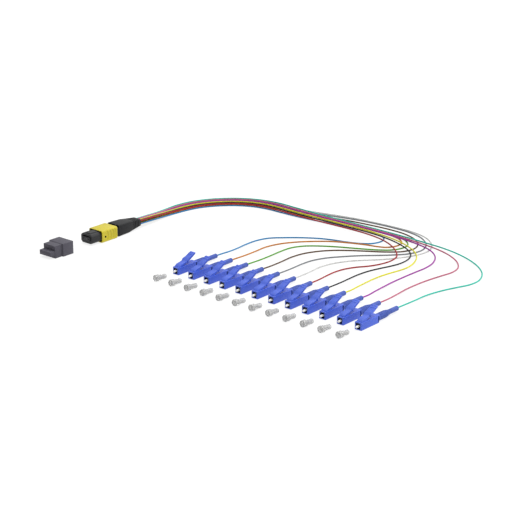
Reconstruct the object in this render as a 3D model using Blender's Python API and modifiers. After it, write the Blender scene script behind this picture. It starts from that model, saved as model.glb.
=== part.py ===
"""Fibre breakout cable: one multi-fibre plug fanned out to twelve single-fibre plugs.

World axes: +Y runs from the plugs' noses back to their boots, +X runs along the row of
small plugs, +Z is up.  The origin lies under the big plug's coupling sleeve, in the
middle of its underside, on the surface that the whole cable rests on.
"""
import math

import bmesh
import bpy
from mathutils import Matrix, Vector

MM = 0.001
GAP = 0.3 * MM            # clearance between pieces that touch on the real cable

# Small plugs, all alike, in one row
PLUG_COUNT = 12
PLUG_PITCH = 12.0 * MM
FIRST_PLUG_X = 78.0 * MM
PLUG_SIDE = 4.5 * MM      # the housing is a square tube outside
PLUG_LENGTH = 16.0 * MM
PLUG_FRONT_Y = -18.2 * MM
PLUG_EDGE = 0.3 * MM
NOSE_HOLE = 3.1 * MM
NOSE_DEPTH = 6.0 * MM
FERRULE_RADIUS = 0.625 * MM
FERRULE_REACH = 1.7 * MM  # how far the white ferrule stands out of the nose
BOOT_RADIUS = 2.1 * MM
BOOT_TIP_RADIUS = 1.4 * MM
BOOT_WIDE_LENGTH = 6.9 * MM
BOOT_TAPER_LENGTH = 5.0 * MM
BOOT_TIP_LENGTH = 7.0 * MM

# Spring latch on top of each small plug, moulded with its housing
LATCH_WIDTH = 3.5 * MM
LATCH_SETBACK = 1.1 * MM
LATCH_ROOT_LENGTH = 4.0 * MM
LATCH_REACH = 14.0 * MM
LATCH_RISE = 5.7 * MM
LATCH_THICKNESS = 1.0 * MM
LATCH_KNUCKLE = 7.8 * MM  # from the root's front to the bend that carries the catches
LATCH_KNUCKLE_RISE = 3.2 * MM
LATCH_ROOT_RISE = 1.2 * MM
CATCH_LENGTH = 1.2 * MM
CATCH_HEIGHT = 0.9 * MM
CATCH_DROP = 0.25 * MM    # the catches' middle lies this far under the knuckle's top

# Dust caps pulled off the small plugs, one lying in front of each
CAP_LENGTH = 8.5 * MM
CAP_HEAD_LENGTH = 2.9 * MM
CAP_HEAD_RADIUS = 1.95 * MM
CAP_TUBE_RADIUS = 1.4 * MM
CAP_BORE_DEPTH = 6.0 * MM
CAP_BORE_CLEARANCE = 0.05 * MM
CAP_TUBE_END_Y = -26.3 * MM
CAP_SHIFT = -0.6 * MM     # along the row, from the plug it was pulled off

# Big multi-fibre plug
SLEEVE_WIDTH = 11.6 * MM
SLEEVE_HEIGHT = 7.7 * MM
SLEEVE_LENGTH = 13.0 * MM
SLEEVE_EDGE = 1.1 * MM
SLEEVE_TRAVEL = 1.5 * MM
NOSE_WIDTH = 9.7 * MM
NOSE_HEIGHT = 5.9 * MM
NOSE_CHAMFER = 1.2 * MM
NOSE_FRONT_Y = -14.3 * MM
KEY_WIDTH = 4.2 * MM
KEY_HEIGHT = 0.5 * MM
KEY_SETBACK = 1.2 * MM
BLOCK_WIDTH = 6.4 * MM    # the rectangular ferrule that holds all the fibre ends
BLOCK_HEIGHT = 2.5 * MM
BLOCK_LENGTH = 8.0 * MM
BLOCK_PROUD = 0.4 * MM
BLOCK_TRAVEL = 0.8 * MM
CRIMP_RADIUS = 2.2 * MM
CRIMP_LENGTH = 6.0 * MM
RELIEF_WIDTH = 10.2 * MM
RELIEF_HEIGHT = 7.5 * MM
RELIEF_LENGTH = 20.2 * MM
RELIEF_BLOCK_LENGTH = 9.7 * MM    # to the bend from which it tapers
RELIEF_BEND_WIDTH = 9.3 * MM
RELIEF_BEND_HEIGHT = 7.2 * MM
RELIEF_END_WIDTH = 6.6 * MM
RELIEF_END_HEIGHT = 4.4 * MM
RELIEF_EDGE = 1.1 * MM

# Dust cap pulled off the big plug
COVER_WALL = 0.95 * MM    # at the sides and at the step inside
COVER_ROOF = 0.46 * MM    # above and below
COVER_JOIN = 2.0 * MM     # how far the nose runs into the rim
COVER_RIM_LENGTH = 8.2 * MM
COVER_NOSE_LENGTH = 5.6 * MM
COVER_NOSE_STEP = 1.15 * MM   # the nose is narrower than the rim by this at each side
COVER_NOSE_DROP = 0.32 * MM   # and lower at the top
COVER_TONGUE_LENGTH = 3.5 * MM
COVER_TONGUE_HEIGHT = 2.8 * MM
COVER_TONGUE_LIFT = 1.8 * MM
COVER_TONGUE_STEP = 0.1 * MM  # the tongue is narrower than the nose by this at each side
COVER_HOLE_DEPTH = 11.6 * MM
COVER_LEDGE_SIDE = 1.35 * MM  # the hole inside is narrower than the mouth by this
COVER_LEDGE_TOP = 1.0 * MM
COVER_REAR_Y = -30.7 * MM
COVER_X = -0.35 * MM

# Coated fibres, in the colour code's order from the first small plug to the last
FIBRE_RADIUS = 0.45 * MM
FIBRE_LIFT = 0.03 * MM    # under a fibre that lies on the surface
FIBRE_SAMPLES = 40

# What both plugs' pieces take from the sizes above
PLUG_AXIS_Z = PLUG_SIDE / 2
PLUG_REAR_Y = PLUG_FRONT_Y + PLUG_LENGTH
BOOT_FRONT_Y = PLUG_REAR_Y + GAP
BOOT_END_Y = BOOT_FRONT_Y + BOOT_WIDE_LENGTH + BOOT_TAPER_LENGTH + BOOT_TIP_LENGTH
BIG_AXIS_Z = SLEEVE_HEIGHT / 2
SLEEVE_REAR_Y = SLEEVE_LENGTH / 2
RELIEF_FRONT_Y = SLEEVE_REAR_Y + SLEEVE_TRAVEL + 2 * GAP
RELIEF_END_Y = RELIEF_FRONT_Y + RELIEF_LENGTH

# Stations of the bundle that all fibres share, hand-set: place in plan (mm), heading in
# degrees from +X, spacing of the six lanes, height of the lower row and of the upper over it
TRUNK = [
    (0.0, 29.1, 90, 1.0, 2.8, 2.0),
    (0.0, 33.0, 90, 1.0, 2.75, 2.0),
    (-0.9, 43.0, 96, 1.05, 2.1, 2.0),
    (-2.4, 53.0, 98, 1.15, 1.2, 1.9),
    (-3.8, 64.0, 95, 1.5, 0.58, 1.6),
    (-3.9, 75.0, 86, 1.95, 0.48, 1.35),
    (-1.2, 87.0, 70, 2.2, 0.48, 1.26),
    (5.2, 98.0, 53, 2.3, 0.48, 1.26),
    (14.5, 107.3, 38, 2.35, 0.48, 1.26),
    (26.0, 113.7, 20, 2.35, 0.48, 1.26),
    (38.5, 116.3, 4, 2.35, 0.48, 1.26),
]

# Each fibre's own points after the bundle (mm): x, y, height of its middle.  The first six
# run in the lower row, the others over them and down to the surface beyond the crossings.
FIBRES = [
    ("blue", (0.067, 0.32, 0.53), [
        (52, 110.6, 0.48), (66, 110.9, 0.48), (80, 112.2, 0.48), (95, 113.8, 0.48),
        (108, 115, 0.48), (119, 115.4, 0.48), (127, 114.4, 0.48), (132, 111.3, 0.48),
        (134, 106, 0.48), (132.2, 99.5, 0.48), (127, 95, 0.48), (119, 91.6, 0.48),
        (110.3, 89.2, 0.48), (102, 86, 0.48), (92.5, 80, 0.48), (84, 72.8, 0.48),
        (77.6, 66, 0.48), (74.9, 57.9, 0.53), (75.2, 47.2, 0.84), (77.1, 37.1, 1.4),
        (78.2, 28.7, 1.91), (78.2, 23.2, 2.16), (78, 17.3, 2.25)]),
    ("orange", (0.61, 0.23, 0.03), [
        (52, 113.1, 0.48), (66, 113.9, 0.48), (80, 115.6, 0.48), (95, 117.8, 0.48),
        (109, 119.5, 0.48), (122, 120, 0.48), (133, 118.8, 0.48), (141, 115.8, 0.48),
        (145.6, 110.8, 0.48), (146, 104.5, 0.48), (142.8, 99, 0.48), (137.5, 96.6, 0.48),
        (130, 94.6, 0.48), (121, 91.2, 0.48), (111, 86.2, 0.48), (102.5, 79.3, 0.48),
        (95, 71.1, 0.48), (89.4, 61.5, 0.48), (87.3, 51.6, 0.66), (88.6, 40.5, 1.18),
        (90, 29.6, 1.87), (90.2, 23.2, 2.16), (90, 17.3, 2.25)]),
    ("green", (0.16, 0.4, 0.03), [
        (52, 115.6, 0.48), (66, 116.8, 0.48), (80, 119, 0.48), (95, 121.4, 0.48),
        (109, 122.6, 0.48), (123, 122.6, 0.48), (136, 120.2, 0.48), (145.5, 116, 0.48),
        (150.5, 110.3, 0.48), (151, 103.5, 0.48), (148, 97, 0.48), (142.8, 92.6, 0.48),
        (136, 88.6, 0.48), (128.5, 84.8, 0.48), (120, 80.6, 0.48), (111.2, 75.2, 0.48),
        (103.5, 68.5, 0.48), (99.6, 61, 0.48), (99.2, 51.6, 0.66), (100.6, 40.5, 1.18),
        (102, 29.6, 1.87), (102.2, 23.2, 2.16), (102, 17.3, 2.25)]),
    ("brown", (0.11, 0.065, 0.03), [
        (52, 118.1, 0.48), (66, 119.8, 0.48), (80, 122.6, 0.48), (95, 125.6, 0.48),
        (109, 127.2, 0.48), (123, 128, 0.48), (136, 127, 0.48), (147, 122.7, 0.48),
        (154.5, 115.5, 0.48), (157.2, 107.3, 0.48), (155, 99.2, 0.48),
        (147.5, 91.8, 0.48), (138, 85.6, 0.48), (129, 79.6, 0.48), (121.5, 73.4, 0.48),
        (115.8, 66, 0.48), (111.9, 56.9, 0.55), (111.2, 46.7, 0.87), (112.8, 36.1, 1.46),
        (113.8, 28.9, 1.9), (114.2, 23.2, 2.16), (114, 17.3, 2.25)]),
    ("slate", (0.24, 0.25, 0.26), [
        (52, 120.6, 0.48), (66, 122.9, 0.48), (80, 126.2, 0.48), (95, 129.8, 0.48),
        (109, 131.6, 0.48), (123, 132.3, 0.48), (137, 131.4, 0.48), (149, 127.2, 0.48),
        (158.5, 118.5, 0.48), (162.4, 108.5, 0.48), (160.3, 98.5, 0.48),
        (154, 90.2, 0.48), (147, 83.2, 0.48), (140.2, 76.8, 0.48), (133.2, 68.6, 0.48),
        (126.9, 59.6, 0.48), (124, 50.6, 0.69), (124.1, 40.5, 1.18), (125.5, 31, 1.8),
        (126.1, 23.7, 2.14), (126, 17.3, 2.25)]),
    ("white", (0.75, 0.75, 0.73), [
        (52, 123, 0.48), (66, 125.5, 0.48), (80, 128.9, 0.48), (95, 131.9, 0.48),
        (109, 133.2, 0.48), (123, 133.9, 0.48), (137, 133.5, 0.48), (150.5, 129.6, 0.48),
        (161.2, 120.8, 0.48), (166.2, 110, 0.48), (165, 99, 0.48), (160, 88.6, 0.48),
        (154.6, 80.4, 0.48), (148, 73, 0.48), (141.2, 65, 0.48), (136.5, 55.3, 0.58),
        (135.1, 44.4, 0.98), (136.7, 34.1, 1.6), (137.6, 27.7, 1.95), (138, 22.4, 2.17),
        (138, 17.3, 2.25)]),
    ("red", (0.4, 0.02, 0.035), [
        (52, 110, 1.74), (66, 109.4, 1.74), (80, 109.3, 1.74), (94, 109.5, 1.74),
        (108, 109.6, 1.74), (121, 108.9, 1.74), (133, 106.4, 1.74), (144, 101.4, 1.74),
        (153.5, 94, 1.74), (160, 85.5, 1.74), (161.3, 77.6, 1.6), (159, 71.2, 1),
        (155, 64.8, 0.55), (150.5, 58.5, 0.51), (147.6, 51.1, 0.68), (147.1, 42.2, 1.09),
        (148.4, 32.8, 1.68), (149.7, 24.9, 2.09), (150, 17.3, 2.25)]),
    ("black", (0.008, 0.008, 0.009), [
        (52, 112.4, 1.74), (66, 112, 1.74), (80, 112, 1.74), (94, 112.2, 1.74),
        (108, 112.2, 1.74), (121, 111.8, 1.74), (134, 110.1, 1.74), (146, 106.6, 1.74),
        (157, 101, 1.74), (164.4, 94, 1.74), (167.4, 87, 1.5), (167.1, 80, 0.95),
        (164.9, 73.3, 0.55), (162.3, 66, 0.48), (160.1, 57.4, 0.54), (159.6, 47.8, 0.81),
        (160.6, 38.2, 1.32), (161.7, 29.9, 1.85), (162.1, 23.2, 2.16),
        (162, 17.3, 2.25)]),
    ("yellow", (0.83, 0.75, 0.03), [
        (52, 114.9, 1.74), (66, 114.5, 1.74), (80, 114.5, 1.74), (94, 114.6, 1.74),
        (108, 114.6, 1.74), (121, 114.1, 1.74), (134, 112.5, 1.74), (147, 109, 1.74),
        (158.6, 103.3, 1.74), (167.6, 95.4, 1.74), (172.6, 86.8, 1.5),
        (174.2, 78.5, 0.95), (173.3, 71.5, 0.55), (171.7, 64, 0.48), (170.6, 55.8, 0.57),
        (170.8, 46.1, 0.89), (172.1, 36.6, 1.43), (173.2, 29.2, 1.88),
        (174.1, 23.2, 2.16), (174, 17.3, 2.25)]),
    ("violet", (0.38, 0.05, 0.38), [
        (52, 117.3, 1.74), (66, 116.9, 1.74), (80, 116.7, 1.74), (94, 116.8, 1.74),
        (108, 116.8, 1.74), (121, 116.6, 1.74), (134, 116, 1.74), (147, 114.7, 1.74),
        (159, 112.3, 1.74), (169.3, 108, 1.74), (177.2, 101, 1.5), (181.3, 92.5, 0.95),
        (182.2, 83.5, 0.55), (181.8, 74.5, 0.48), (181.5, 63, 0.48), (181.8, 51.6, 0.66),
        (183.2, 40.5, 1.17), (184.8, 31, 1.8), (186.1, 23.2, 2.16), (186, 17.3, 2.25)]),
    ("rose", (0.61, 0.16, 0.26), [
        (52, 119.3, 1.74), (66, 118.7, 1.74), (80, 118.3, 1.74), (94, 118.2, 1.74),
        (108, 118.2, 1.74), (121, 118.1, 1.74), (134, 117.7, 1.74), (147, 116.8, 1.74),
        (159, 115.3, 1.74), (171, 112.8, 1.74), (182, 109, 1.5), (191, 103.6, 0.9),
        (196.6, 96.2, 0.5), (198.2, 87.8, 0.48), (196.8, 79, 0.48), (195.2, 69, 0.48),
        (194.3, 58.4, 0.51), (194.7, 47.2, 0.84), (196.3, 37.1, 1.4), (197.5, 29.6, 1.87),
        (198.1, 23.2, 2.16), (198, 17.3, 2.25)]),
    ("aqua", (0.08, 0.6, 0.5), [
        (52, 121.7, 1.74), (66, 121, 1.74), (80, 120.5, 1.74), (94, 120.2, 1.74),
        (108, 120.2, 1.74), (121, 120.2, 1.74), (134, 119.9, 1.74), (147, 119.2, 1.74),
        (159, 118.3, 1.74), (171, 117.1, 1.74), (183, 114.9, 1.5), (194.6, 111.3, 0.9),
        (205, 105.2, 0.5), (213.2, 96.4, 0.48), (217.6, 86, 0.48), (217.4, 77.5, 0.48),
        (214.8, 70, 0.48), (211.8, 62, 0.48), (209.7, 53.2, 0.63), (209, 44.4, 0.98),
        (209.6, 36, 1.47), (210, 29, 1.89), (210.1, 23.2, 2.16), (210, 17.3, 2.25)]),
]

for old in list(bpy.data.objects):
    bpy.data.objects.remove(old)
parts = bpy.data.collections.new("fibre_breakout_cable")
cutters = bpy.data.collections.new("cutters")
for group in (parts, cutters):
    bpy.context.scene.collection.children.link(group)


def material(name, colour, roughness=0.45, metallic=0.0):
    """A Principled material with one colour."""
    made = bpy.data.materials.new(name)
    made.use_nodes = True
    shader = made.node_tree.nodes["Principled BSDF"]
    shader.inputs["Base Color"].default_value = (*colour, 1.0)
    shader.inputs["Roughness"].default_value = roughness
    shader.inputs["Metallic"].default_value = metallic
    return made


def add(name, mesh, group=parts, finish=None):
    """An object for a mesh, in one of the two collections."""
    made = bpy.data.objects.new(name, mesh)
    group.objects.link(made)
    if group is cutters:
        made.hide_render = True
        made.display_type = "WIRE"
    if finish:
        made.data.materials.append(finish)
    return made


def mesh_from(name, shape):
    """Writes a bmesh to a new mesh and frees it."""
    mesh = bpy.data.meshes.new(name)
    shape.to_mesh(mesh)
    shape.free()
    return mesh


def block(name, width, length, height, centre, edge=0.0, steps=1, along=None):
    """A box; its edges that run along one axis, or all of them, may be rounded."""
    shape = bmesh.new()
    bmesh.ops.create_cube(shape, size=1.0)
    bmesh.ops.scale(shape, vec=(width, length, height), verts=shape.verts)
    bmesh.ops.translate(shape, vec=centre, verts=shape.verts)
    if edge:
        picked = [e for e in shape.edges if along is None
                  or abs((e.verts[0].co - e.verts[1].co)[along]) > edge / 10]
        bmesh.ops.bevel(shape, geom=picked, offset=edge, segments=steps, profile=0.5,
                        affect="EDGES")
    return mesh_from(name, shape)


def rod(name, radius, length, front, sides=12):
    """A round bar along +Y from its front end's centre."""
    shape = bmesh.new()
    turn = Matrix.Rotation(-math.pi / 2, 4, "X")
    bmesh.ops.create_cone(shape, cap_ends=True, segments=sides, radius1=radius,
                          radius2=radius, depth=length,
                          matrix=Matrix.Translation(front + Vector((0, length / 2, 0))) @ turn)
    return mesh_from(name, shape)


def outline(name, points, width):
    """A flat outline given as (y, z) pairs, made solid by a thickness along X."""
    curve = bpy.data.curves.new(name, "CURVE")
    curve.dimensions = "2D"
    curve.fill_mode = "BOTH"
    curve.extrude = width / 2
    line = curve.splines.new("POLY")
    line.points.add(len(points) - 1)
    for point, (y, z) in zip(line.points, points):
        point.co = (y, z, 0, 1)
    line.use_cyclic_u = True
    holder = add(name, curve, cutters)
    return baked(holder, Matrix(((0, 0, 1, 0), (1, 0, 0, 0), (0, 1, 0, 0), (0, 0, 0, 1))))


def baked(holder, turn=Matrix()):
    """The evaluated mesh of an object, welded and turned; the object itself goes."""
    bpy.context.view_layer.update()
    depsgraph = bpy.context.evaluated_depsgraph_get()
    mesh = bpy.data.meshes.new_from_object(holder.evaluated_get(depsgraph))
    shape = bmesh.new()
    shape.from_mesh(mesh)
    bmesh.ops.remove_doubles(shape, verts=shape.verts, dist=0.001 * MM)
    bmesh.ops.transform(shape, matrix=turn @ holder.matrix_world, verts=shape.verts)
    bmesh.ops.recalc_face_normals(shape, faces=shape.faces)
    shape.to_mesh(mesh)
    shape.free()
    mesh.name = holder.name
    bpy.data.objects.remove(holder)
    return mesh


def combine(name, base, joined=(), cut=()):
    """One closed mesh: the base with some meshes joined on and others cut away."""
    holder = add(name, base, cutters)
    tools = []
    for operation, meshes in (("UNION", joined), ("DIFFERENCE", cut)):
        for mesh in meshes:
            tool = add(mesh.name, mesh, cutters)
            tools.append(tool)
            step = holder.modifiers.new(operation.lower(), "BOOLEAN")
            step.operation = operation
            step.solver = "EXACT"
            step.object = tool
    mesh = baked(holder)
    for tool in tools:
        bpy.data.objects.remove(tool)
    mesh.name = name
    return mesh


def turned(name, profile, steps):
    """A solid turned about +Y from (y, radius) pairs, closed on the axis at both ends."""
    mesh = bpy.data.meshes.new(name)
    shape = bmesh.new()
    spots = [shape.verts.new((radius, y, 0)) for y, radius in profile]
    for first, second in zip(spots, spots[1:]):
        shape.edges.new((first, second))
    shape.to_mesh(mesh)
    shape.free()
    holder = add(name, mesh, cutters)
    spin = holder.modifiers.new("turn", "SCREW")
    spin.axis = "Y"
    spin.steps = steps
    spin.render_steps = steps
    spin.use_merge_vertices = True
    spin.merge_threshold = 0.002 * MM
    return baked(holder)


def smoothed(mesh, angle=50):
    """Round faces smooth, real edges sharp."""
    mesh.shade_smooth()
    mesh.set_sharp_from_angle(angle=math.radians(angle))
    return mesh


def loft(name, sections, edge, steps=2):
    """A bar along +Y through rectangles (y, width, height), its long edges rounded."""
    shape = bmesh.new()
    rings = []
    for y, width, height in sections:
        corners = ((1, 1), (-1, 1), (-1, -1), (1, -1))
        rings.append([shape.verts.new((sx * width / 2, y, BIG_AXIS_Z + sz * height / 2))
                      for sx, sz in corners])
    loops = [[shape.edges.new((ring[i], ring[(i + 1) % 4])) for i in range(4)]
             for ring in rings]
    for near, far in zip(loops, loops[1:]):
        bmesh.ops.bridge_loops(shape, edges=near + far)
    for ring in (rings[0], rings[-1]):
        shape.faces.new(ring)
    long_edges = [e for e in shape.edges if abs(e.verts[0].co.y - e.verts[1].co.y) > edge / 10]
    bmesh.ops.bevel(shape, geom=long_edges, offset=edge, segments=steps, profile=0.5,
                    affect="EDGES")
    bmesh.ops.recalc_face_normals(shape, faces=shape.faces)
    return mesh_from(name, shape)


# Small plugs
def latch_outline():
    """The latch from the side: root block, rising arm, knuckle and thumb lever."""
    front = PLUG_FRONT_Y + LATCH_SETBACK
    top = PLUG_SIDE
    knuckle = front + LATCH_KNUCKLE
    tip = front + LATCH_REACH
    thick = LATCH_THICKNESS
    root_top = LATCH_ROOT_RISE
    return [
        (front, top - PLUG_EDGE), (front, top + root_top - thick / 3),
        (front + thick, top + root_top), (knuckle, top + LATCH_KNUCKLE_RISE),
        (tip - thick / 3, top + LATCH_RISE), (tip, top + LATCH_RISE - thick / 3),
        (tip, top + LATCH_RISE - thick), (knuckle + thick / 2, top + LATCH_KNUCKLE_RISE - thick),
        (front + LATCH_ROOT_LENGTH, top + root_top - thick),
        (front + LATCH_ROOT_LENGTH, top - PLUG_EDGE)]


def plug_mesh():
    """Housing with its open nose, ferrule and latch, in one closed solid at x = 0."""
    middle = Vector((0, PLUG_FRONT_Y + PLUG_LENGTH / 2, PLUG_AXIS_Z))
    shell = block("shell", PLUG_SIDE, PLUG_LENGTH, PLUG_SIDE, middle, PLUG_EDGE, along=1)
    hole = block("nose_hole", NOSE_HOLE, 2 * NOSE_DEPTH, NOSE_HOLE,
                 Vector((0, PLUG_FRONT_Y, PLUG_AXIS_Z)), PLUG_EDGE, along=1)
    open_shell = combine("open_shell", shell, cut=[hole])
    ferrule = rod("ferrule", FERRULE_RADIUS, NOSE_DEPTH + FERRULE_REACH + GAP,
                  Vector((0, PLUG_FRONT_Y - FERRULE_REACH, PLUG_AXIS_Z)))
    latch = outline("latch", latch_outline(), LATCH_WIDTH)
    catch_y = PLUG_FRONT_Y + LATCH_SETBACK + LATCH_KNUCKLE - CATCH_LENGTH / 2
    catch_z = PLUG_SIDE + LATCH_KNUCKLE_RISE - CATCH_DROP
    catches = block("catches", PLUG_SIDE, CATCH_LENGTH, CATCH_HEIGHT,
                    Vector((0, catch_y, catch_z)))
    return combine("small_plug", open_shell, joined=[ferrule, latch, catches])


def boot_mesh():
    """Bend relief boot: a wide end at the housing, a taper and a slim tube."""
    taper_y = BOOT_FRONT_Y + BOOT_WIDE_LENGTH
    profile = [(BOOT_FRONT_Y, 0), (BOOT_FRONT_Y, BOOT_RADIUS), (taper_y, BOOT_RADIUS),
               (taper_y + BOOT_TAPER_LENGTH, BOOT_TIP_RADIUS),
               (BOOT_END_Y, BOOT_TIP_RADIUS), (BOOT_END_Y, 0)]
    return smoothed(turned("boot", profile, 12))


def cap_mesh():
    """Dust cap: a tube with a thicker head, its bore open at the tube's end (y = 0)."""
    head_y = CAP_HEAD_LENGTH - CAP_LENGTH
    bore = FERRULE_RADIUS + CAP_BORE_CLEARANCE
    profile = [(-CAP_LENGTH, 0), (-CAP_LENGTH, CAP_HEAD_RADIUS), (head_y, CAP_HEAD_RADIUS),
               (head_y, CAP_TUBE_RADIUS), (0, CAP_TUBE_RADIUS), (0, bore),
               (-CAP_BORE_DEPTH, bore), (-CAP_BORE_DEPTH, 0)]
    return smoothed(turned("cap", profile, 12))


def place_small_plugs():
    """The row of plugs, their boots, and a dust cap lying in front of each."""
    blue = material("plug_blue", (0.105, 0.17, 0.68), 0.4)
    boot_blue = material("boot_blue", (0.06, 0.115, 0.42), 0.6)
    clear = material("cap_clear", (0.62, 0.62, 0.62), 0.3)
    plug, boot, cap = plug_mesh(), boot_mesh(), cap_mesh()
    plug.materials.append(blue)
    boot.materials.append(boot_blue)
    cap.materials.append(clear)
    # the cap rests on its head's rear rim and on its tube's end, so it tips a little
    tip = math.atan((CAP_HEAD_RADIUS - CAP_TUBE_RADIUS) / (CAP_LENGTH - CAP_HEAD_LENGTH))
    rest_z = CAP_TUBE_RADIUS * math.cos(tip)
    for number in range(PLUG_COUNT):
        x = FIRST_PLUG_X + number * PLUG_PITCH
        label = f"{number + 1:02d}"
        add("lc_plug_" + label, plug).location.x = x
        boot_object = add("lc_boot_" + label, boot)
        boot_object.location = (x, 0, PLUG_AXIS_Z)
        cap_object = add("lc_dust_cap_" + label, cap)
        cap_object.location = (x + CAP_SHIFT, CAP_TUBE_END_Y, rest_z)
        cap_object.rotation_euler.x = -tip


# Big plug
def place_big_plug():
    """Coupling sleeve, nose housing, ferrule block, crimp body and strain relief."""
    yellow = material("sleeve_yellow", (0.83, 0.68, 0.02), 0.4)
    black = material("housing_black", (0.03, 0.03, 0.034), 0.45)
    dark = material("relief_black", (0.026, 0.027, 0.031), 0.6)
    resin = material("ferrule_grey", (0.12, 0.12, 0.13), 0.35)
    axis = Vector((0, 0, BIG_AXIS_Z))

    nose_length = SLEEVE_REAR_Y - NOSE_FRONT_Y
    nose_middle = axis + Vector((0, NOSE_FRONT_Y + nose_length / 2, 0))
    nose = block("nose", NOSE_WIDTH, nose_length, NOSE_HEIGHT, nose_middle, NOSE_CHAMFER, along=1)
    key_length = -SLEEVE_LENGTH / 2 - NOSE_FRONT_Y - KEY_SETBACK - GAP
    key_y = NOSE_FRONT_Y + KEY_SETBACK + key_length / 2
    key = block("key", KEY_WIDTH, key_length, 2 * KEY_HEIGHT,
                axis + Vector((0, key_y, NOSE_HEIGHT / 2)))
    pocket_length = BLOCK_LENGTH - BLOCK_PROUD + BLOCK_TRAVEL + 2 * GAP
    pocket = block("pocket", BLOCK_WIDTH + 2 * GAP, 2 * pocket_length, BLOCK_HEIGHT + 2 * GAP,
                   axis + Vector((0, NOSE_FRONT_Y, 0)))
    add("mpo_nose_housing", combine("nose_housing", nose, [key], [pocket]), finish=black)

    face_y = NOSE_FRONT_Y - BLOCK_PROUD
    ferrule = block("ferrule_block", BLOCK_WIDTH, BLOCK_LENGTH, BLOCK_HEIGHT,
                    axis + Vector((0, face_y + BLOCK_LENGTH / 2, 0)))
    add("mpo_ferrule_block", ferrule, finish=resin)

    sleeve = block("sleeve", SLEEVE_WIDTH, SLEEVE_LENGTH, SLEEVE_HEIGHT, axis,
                   SLEEVE_EDGE, steps=2, along=1)
    bore = block("sleeve_bore", NOSE_WIDTH + 2 * GAP, 2 * SLEEVE_LENGTH, NOSE_HEIGHT + 2 * GAP,
                 axis, NOSE_CHAMFER, along=1)
    add("mpo_coupling_sleeve", combine("coupling_sleeve", sleeve, cut=[bore]), finish=yellow)

    # the crimp body fills the room that the sleeve slides back over
    neck_front = SLEEVE_REAR_Y + GAP
    neck_length = RELIEF_FRONT_Y - GAP - neck_front
    neck = block("neck", NOSE_WIDTH, neck_length, NOSE_HEIGHT,
                 axis + Vector((0, neck_front + neck_length / 2, 0)), NOSE_CHAMFER, along=1)
    crimp = rod("crimp", CRIMP_RADIUS, CRIMP_LENGTH + neck_length / 2,
                axis + Vector((0, neck_front + neck_length / 2, 0)))
    add("mpo_crimp_body", combine("crimp_body", neck, [crimp]), finish=black)

    sections = [(RELIEF_FRONT_Y, RELIEF_WIDTH, RELIEF_HEIGHT),
                (RELIEF_FRONT_Y + RELIEF_BLOCK_LENGTH, RELIEF_BEND_WIDTH, RELIEF_BEND_HEIGHT),
                (RELIEF_END_Y, RELIEF_END_WIDTH, RELIEF_END_HEIGHT)]
    relief = loft("relief", sections, RELIEF_EDGE)
    socket_length = CRIMP_LENGTH + GAP
    socket = rod("crimp_socket", CRIMP_RADIUS + GAP, 2 * socket_length,
                 axis + Vector((0, RELIEF_FRONT_Y - socket_length, 0)))
    add("mpo_strain_relief", combine("strain_relief", relief, cut=[socket]), finish=dark)


def place_cover():
    """The big plug's dust cap: a hollow rim, a narrower nose and a low tongue in front."""
    grey = material("cover_grey", (0.1, 0.095, 0.125), 0.5)
    hole_width = NOSE_WIDTH + 2 * GAP
    hole_height = NOSE_HEIGHT + KEY_HEIGHT + 2 * GAP
    rim_width = hole_width + 2 * COVER_WALL
    rim_height = hole_height + 2 * COVER_ROOF
    rim_front = COVER_REAR_Y - COVER_RIM_LENGTH
    nose_front = rim_front - COVER_NOSE_LENGTH
    rim = block("rim", rim_width, COVER_RIM_LENGTH, rim_height,
                Vector((COVER_X, (COVER_REAR_Y + rim_front) / 2, rim_height / 2)), PLUG_EDGE)
    nose_length = COVER_NOSE_LENGTH + COVER_JOIN
    nose_width = rim_width - 2 * COVER_NOSE_STEP
    nose_height = rim_height - COVER_NOSE_DROP
    nose = block("cover_nose", nose_width, nose_length, nose_height,
                 Vector((COVER_X, nose_front + nose_length / 2, nose_height / 2)), PLUG_EDGE)
    tongue = block("tongue", nose_width - 2 * COVER_TONGUE_STEP, 2 * COVER_TONGUE_LENGTH,
                   COVER_TONGUE_HEIGHT,
                   Vector((COVER_X, nose_front,
                           COVER_TONGUE_LIFT + COVER_TONGUE_HEIGHT / 2)), PLUG_EDGE)
    middle_z = rim_height / 2
    mouth_depth = COVER_RIM_LENGTH - COVER_WALL
    mouth = block("mouth", hole_width, 2 * mouth_depth, hole_height,
                  Vector((COVER_X, COVER_REAR_Y, middle_z)))
    inner = block("inner", hole_width - 2 * COVER_LEDGE_SIDE, 2 * COVER_HOLE_DEPTH,
                  hole_height - 2 * COVER_LEDGE_TOP, Vector((COVER_X, COVER_REAR_Y, middle_z)))
    add("mpo_dust_cap", combine("cover", rim, [nose, tongue], [mouth, inner]), finish=grey)


# Fibres
def lane_point(station, number):
    """Where a fibre's lane crosses a station; six lanes below, six above."""
    x, y, heading, spacing, low, rise = station
    row, lane = divmod(number, PLUG_COUNT // 2)
    across = math.radians(heading + 90)
    offset = (lane - (PLUG_COUNT // 2 - 1) / 2) * spacing
    return Vector((x + offset * math.cos(across), y + offset * math.sin(across),
                   low + row * rise))


def between(before, start, end, after, share):
    """A point on the centripetal curve that passes through start and end."""
    knots = [0.0]
    for first, second in ((before, start), (start, end), (end, after)):
        knots.append(knots[-1] + math.sqrt((second - first).length))
    t = knots[1] + (knots[2] - knots[1]) * share
    a = [before.lerp(start, t / knots[1]),
         start.lerp(end, (t - knots[1]) / (knots[2] - knots[1])),
         end.lerp(after, (t - knots[2]) / (knots[3] - knots[2]))]
    b = [a[0].lerp(a[1], t / knots[2]),
         a[1].lerp(a[2], (t - knots[1]) / (knots[3] - knots[1]))]
    return b[0].lerp(b[1], share)


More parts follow.
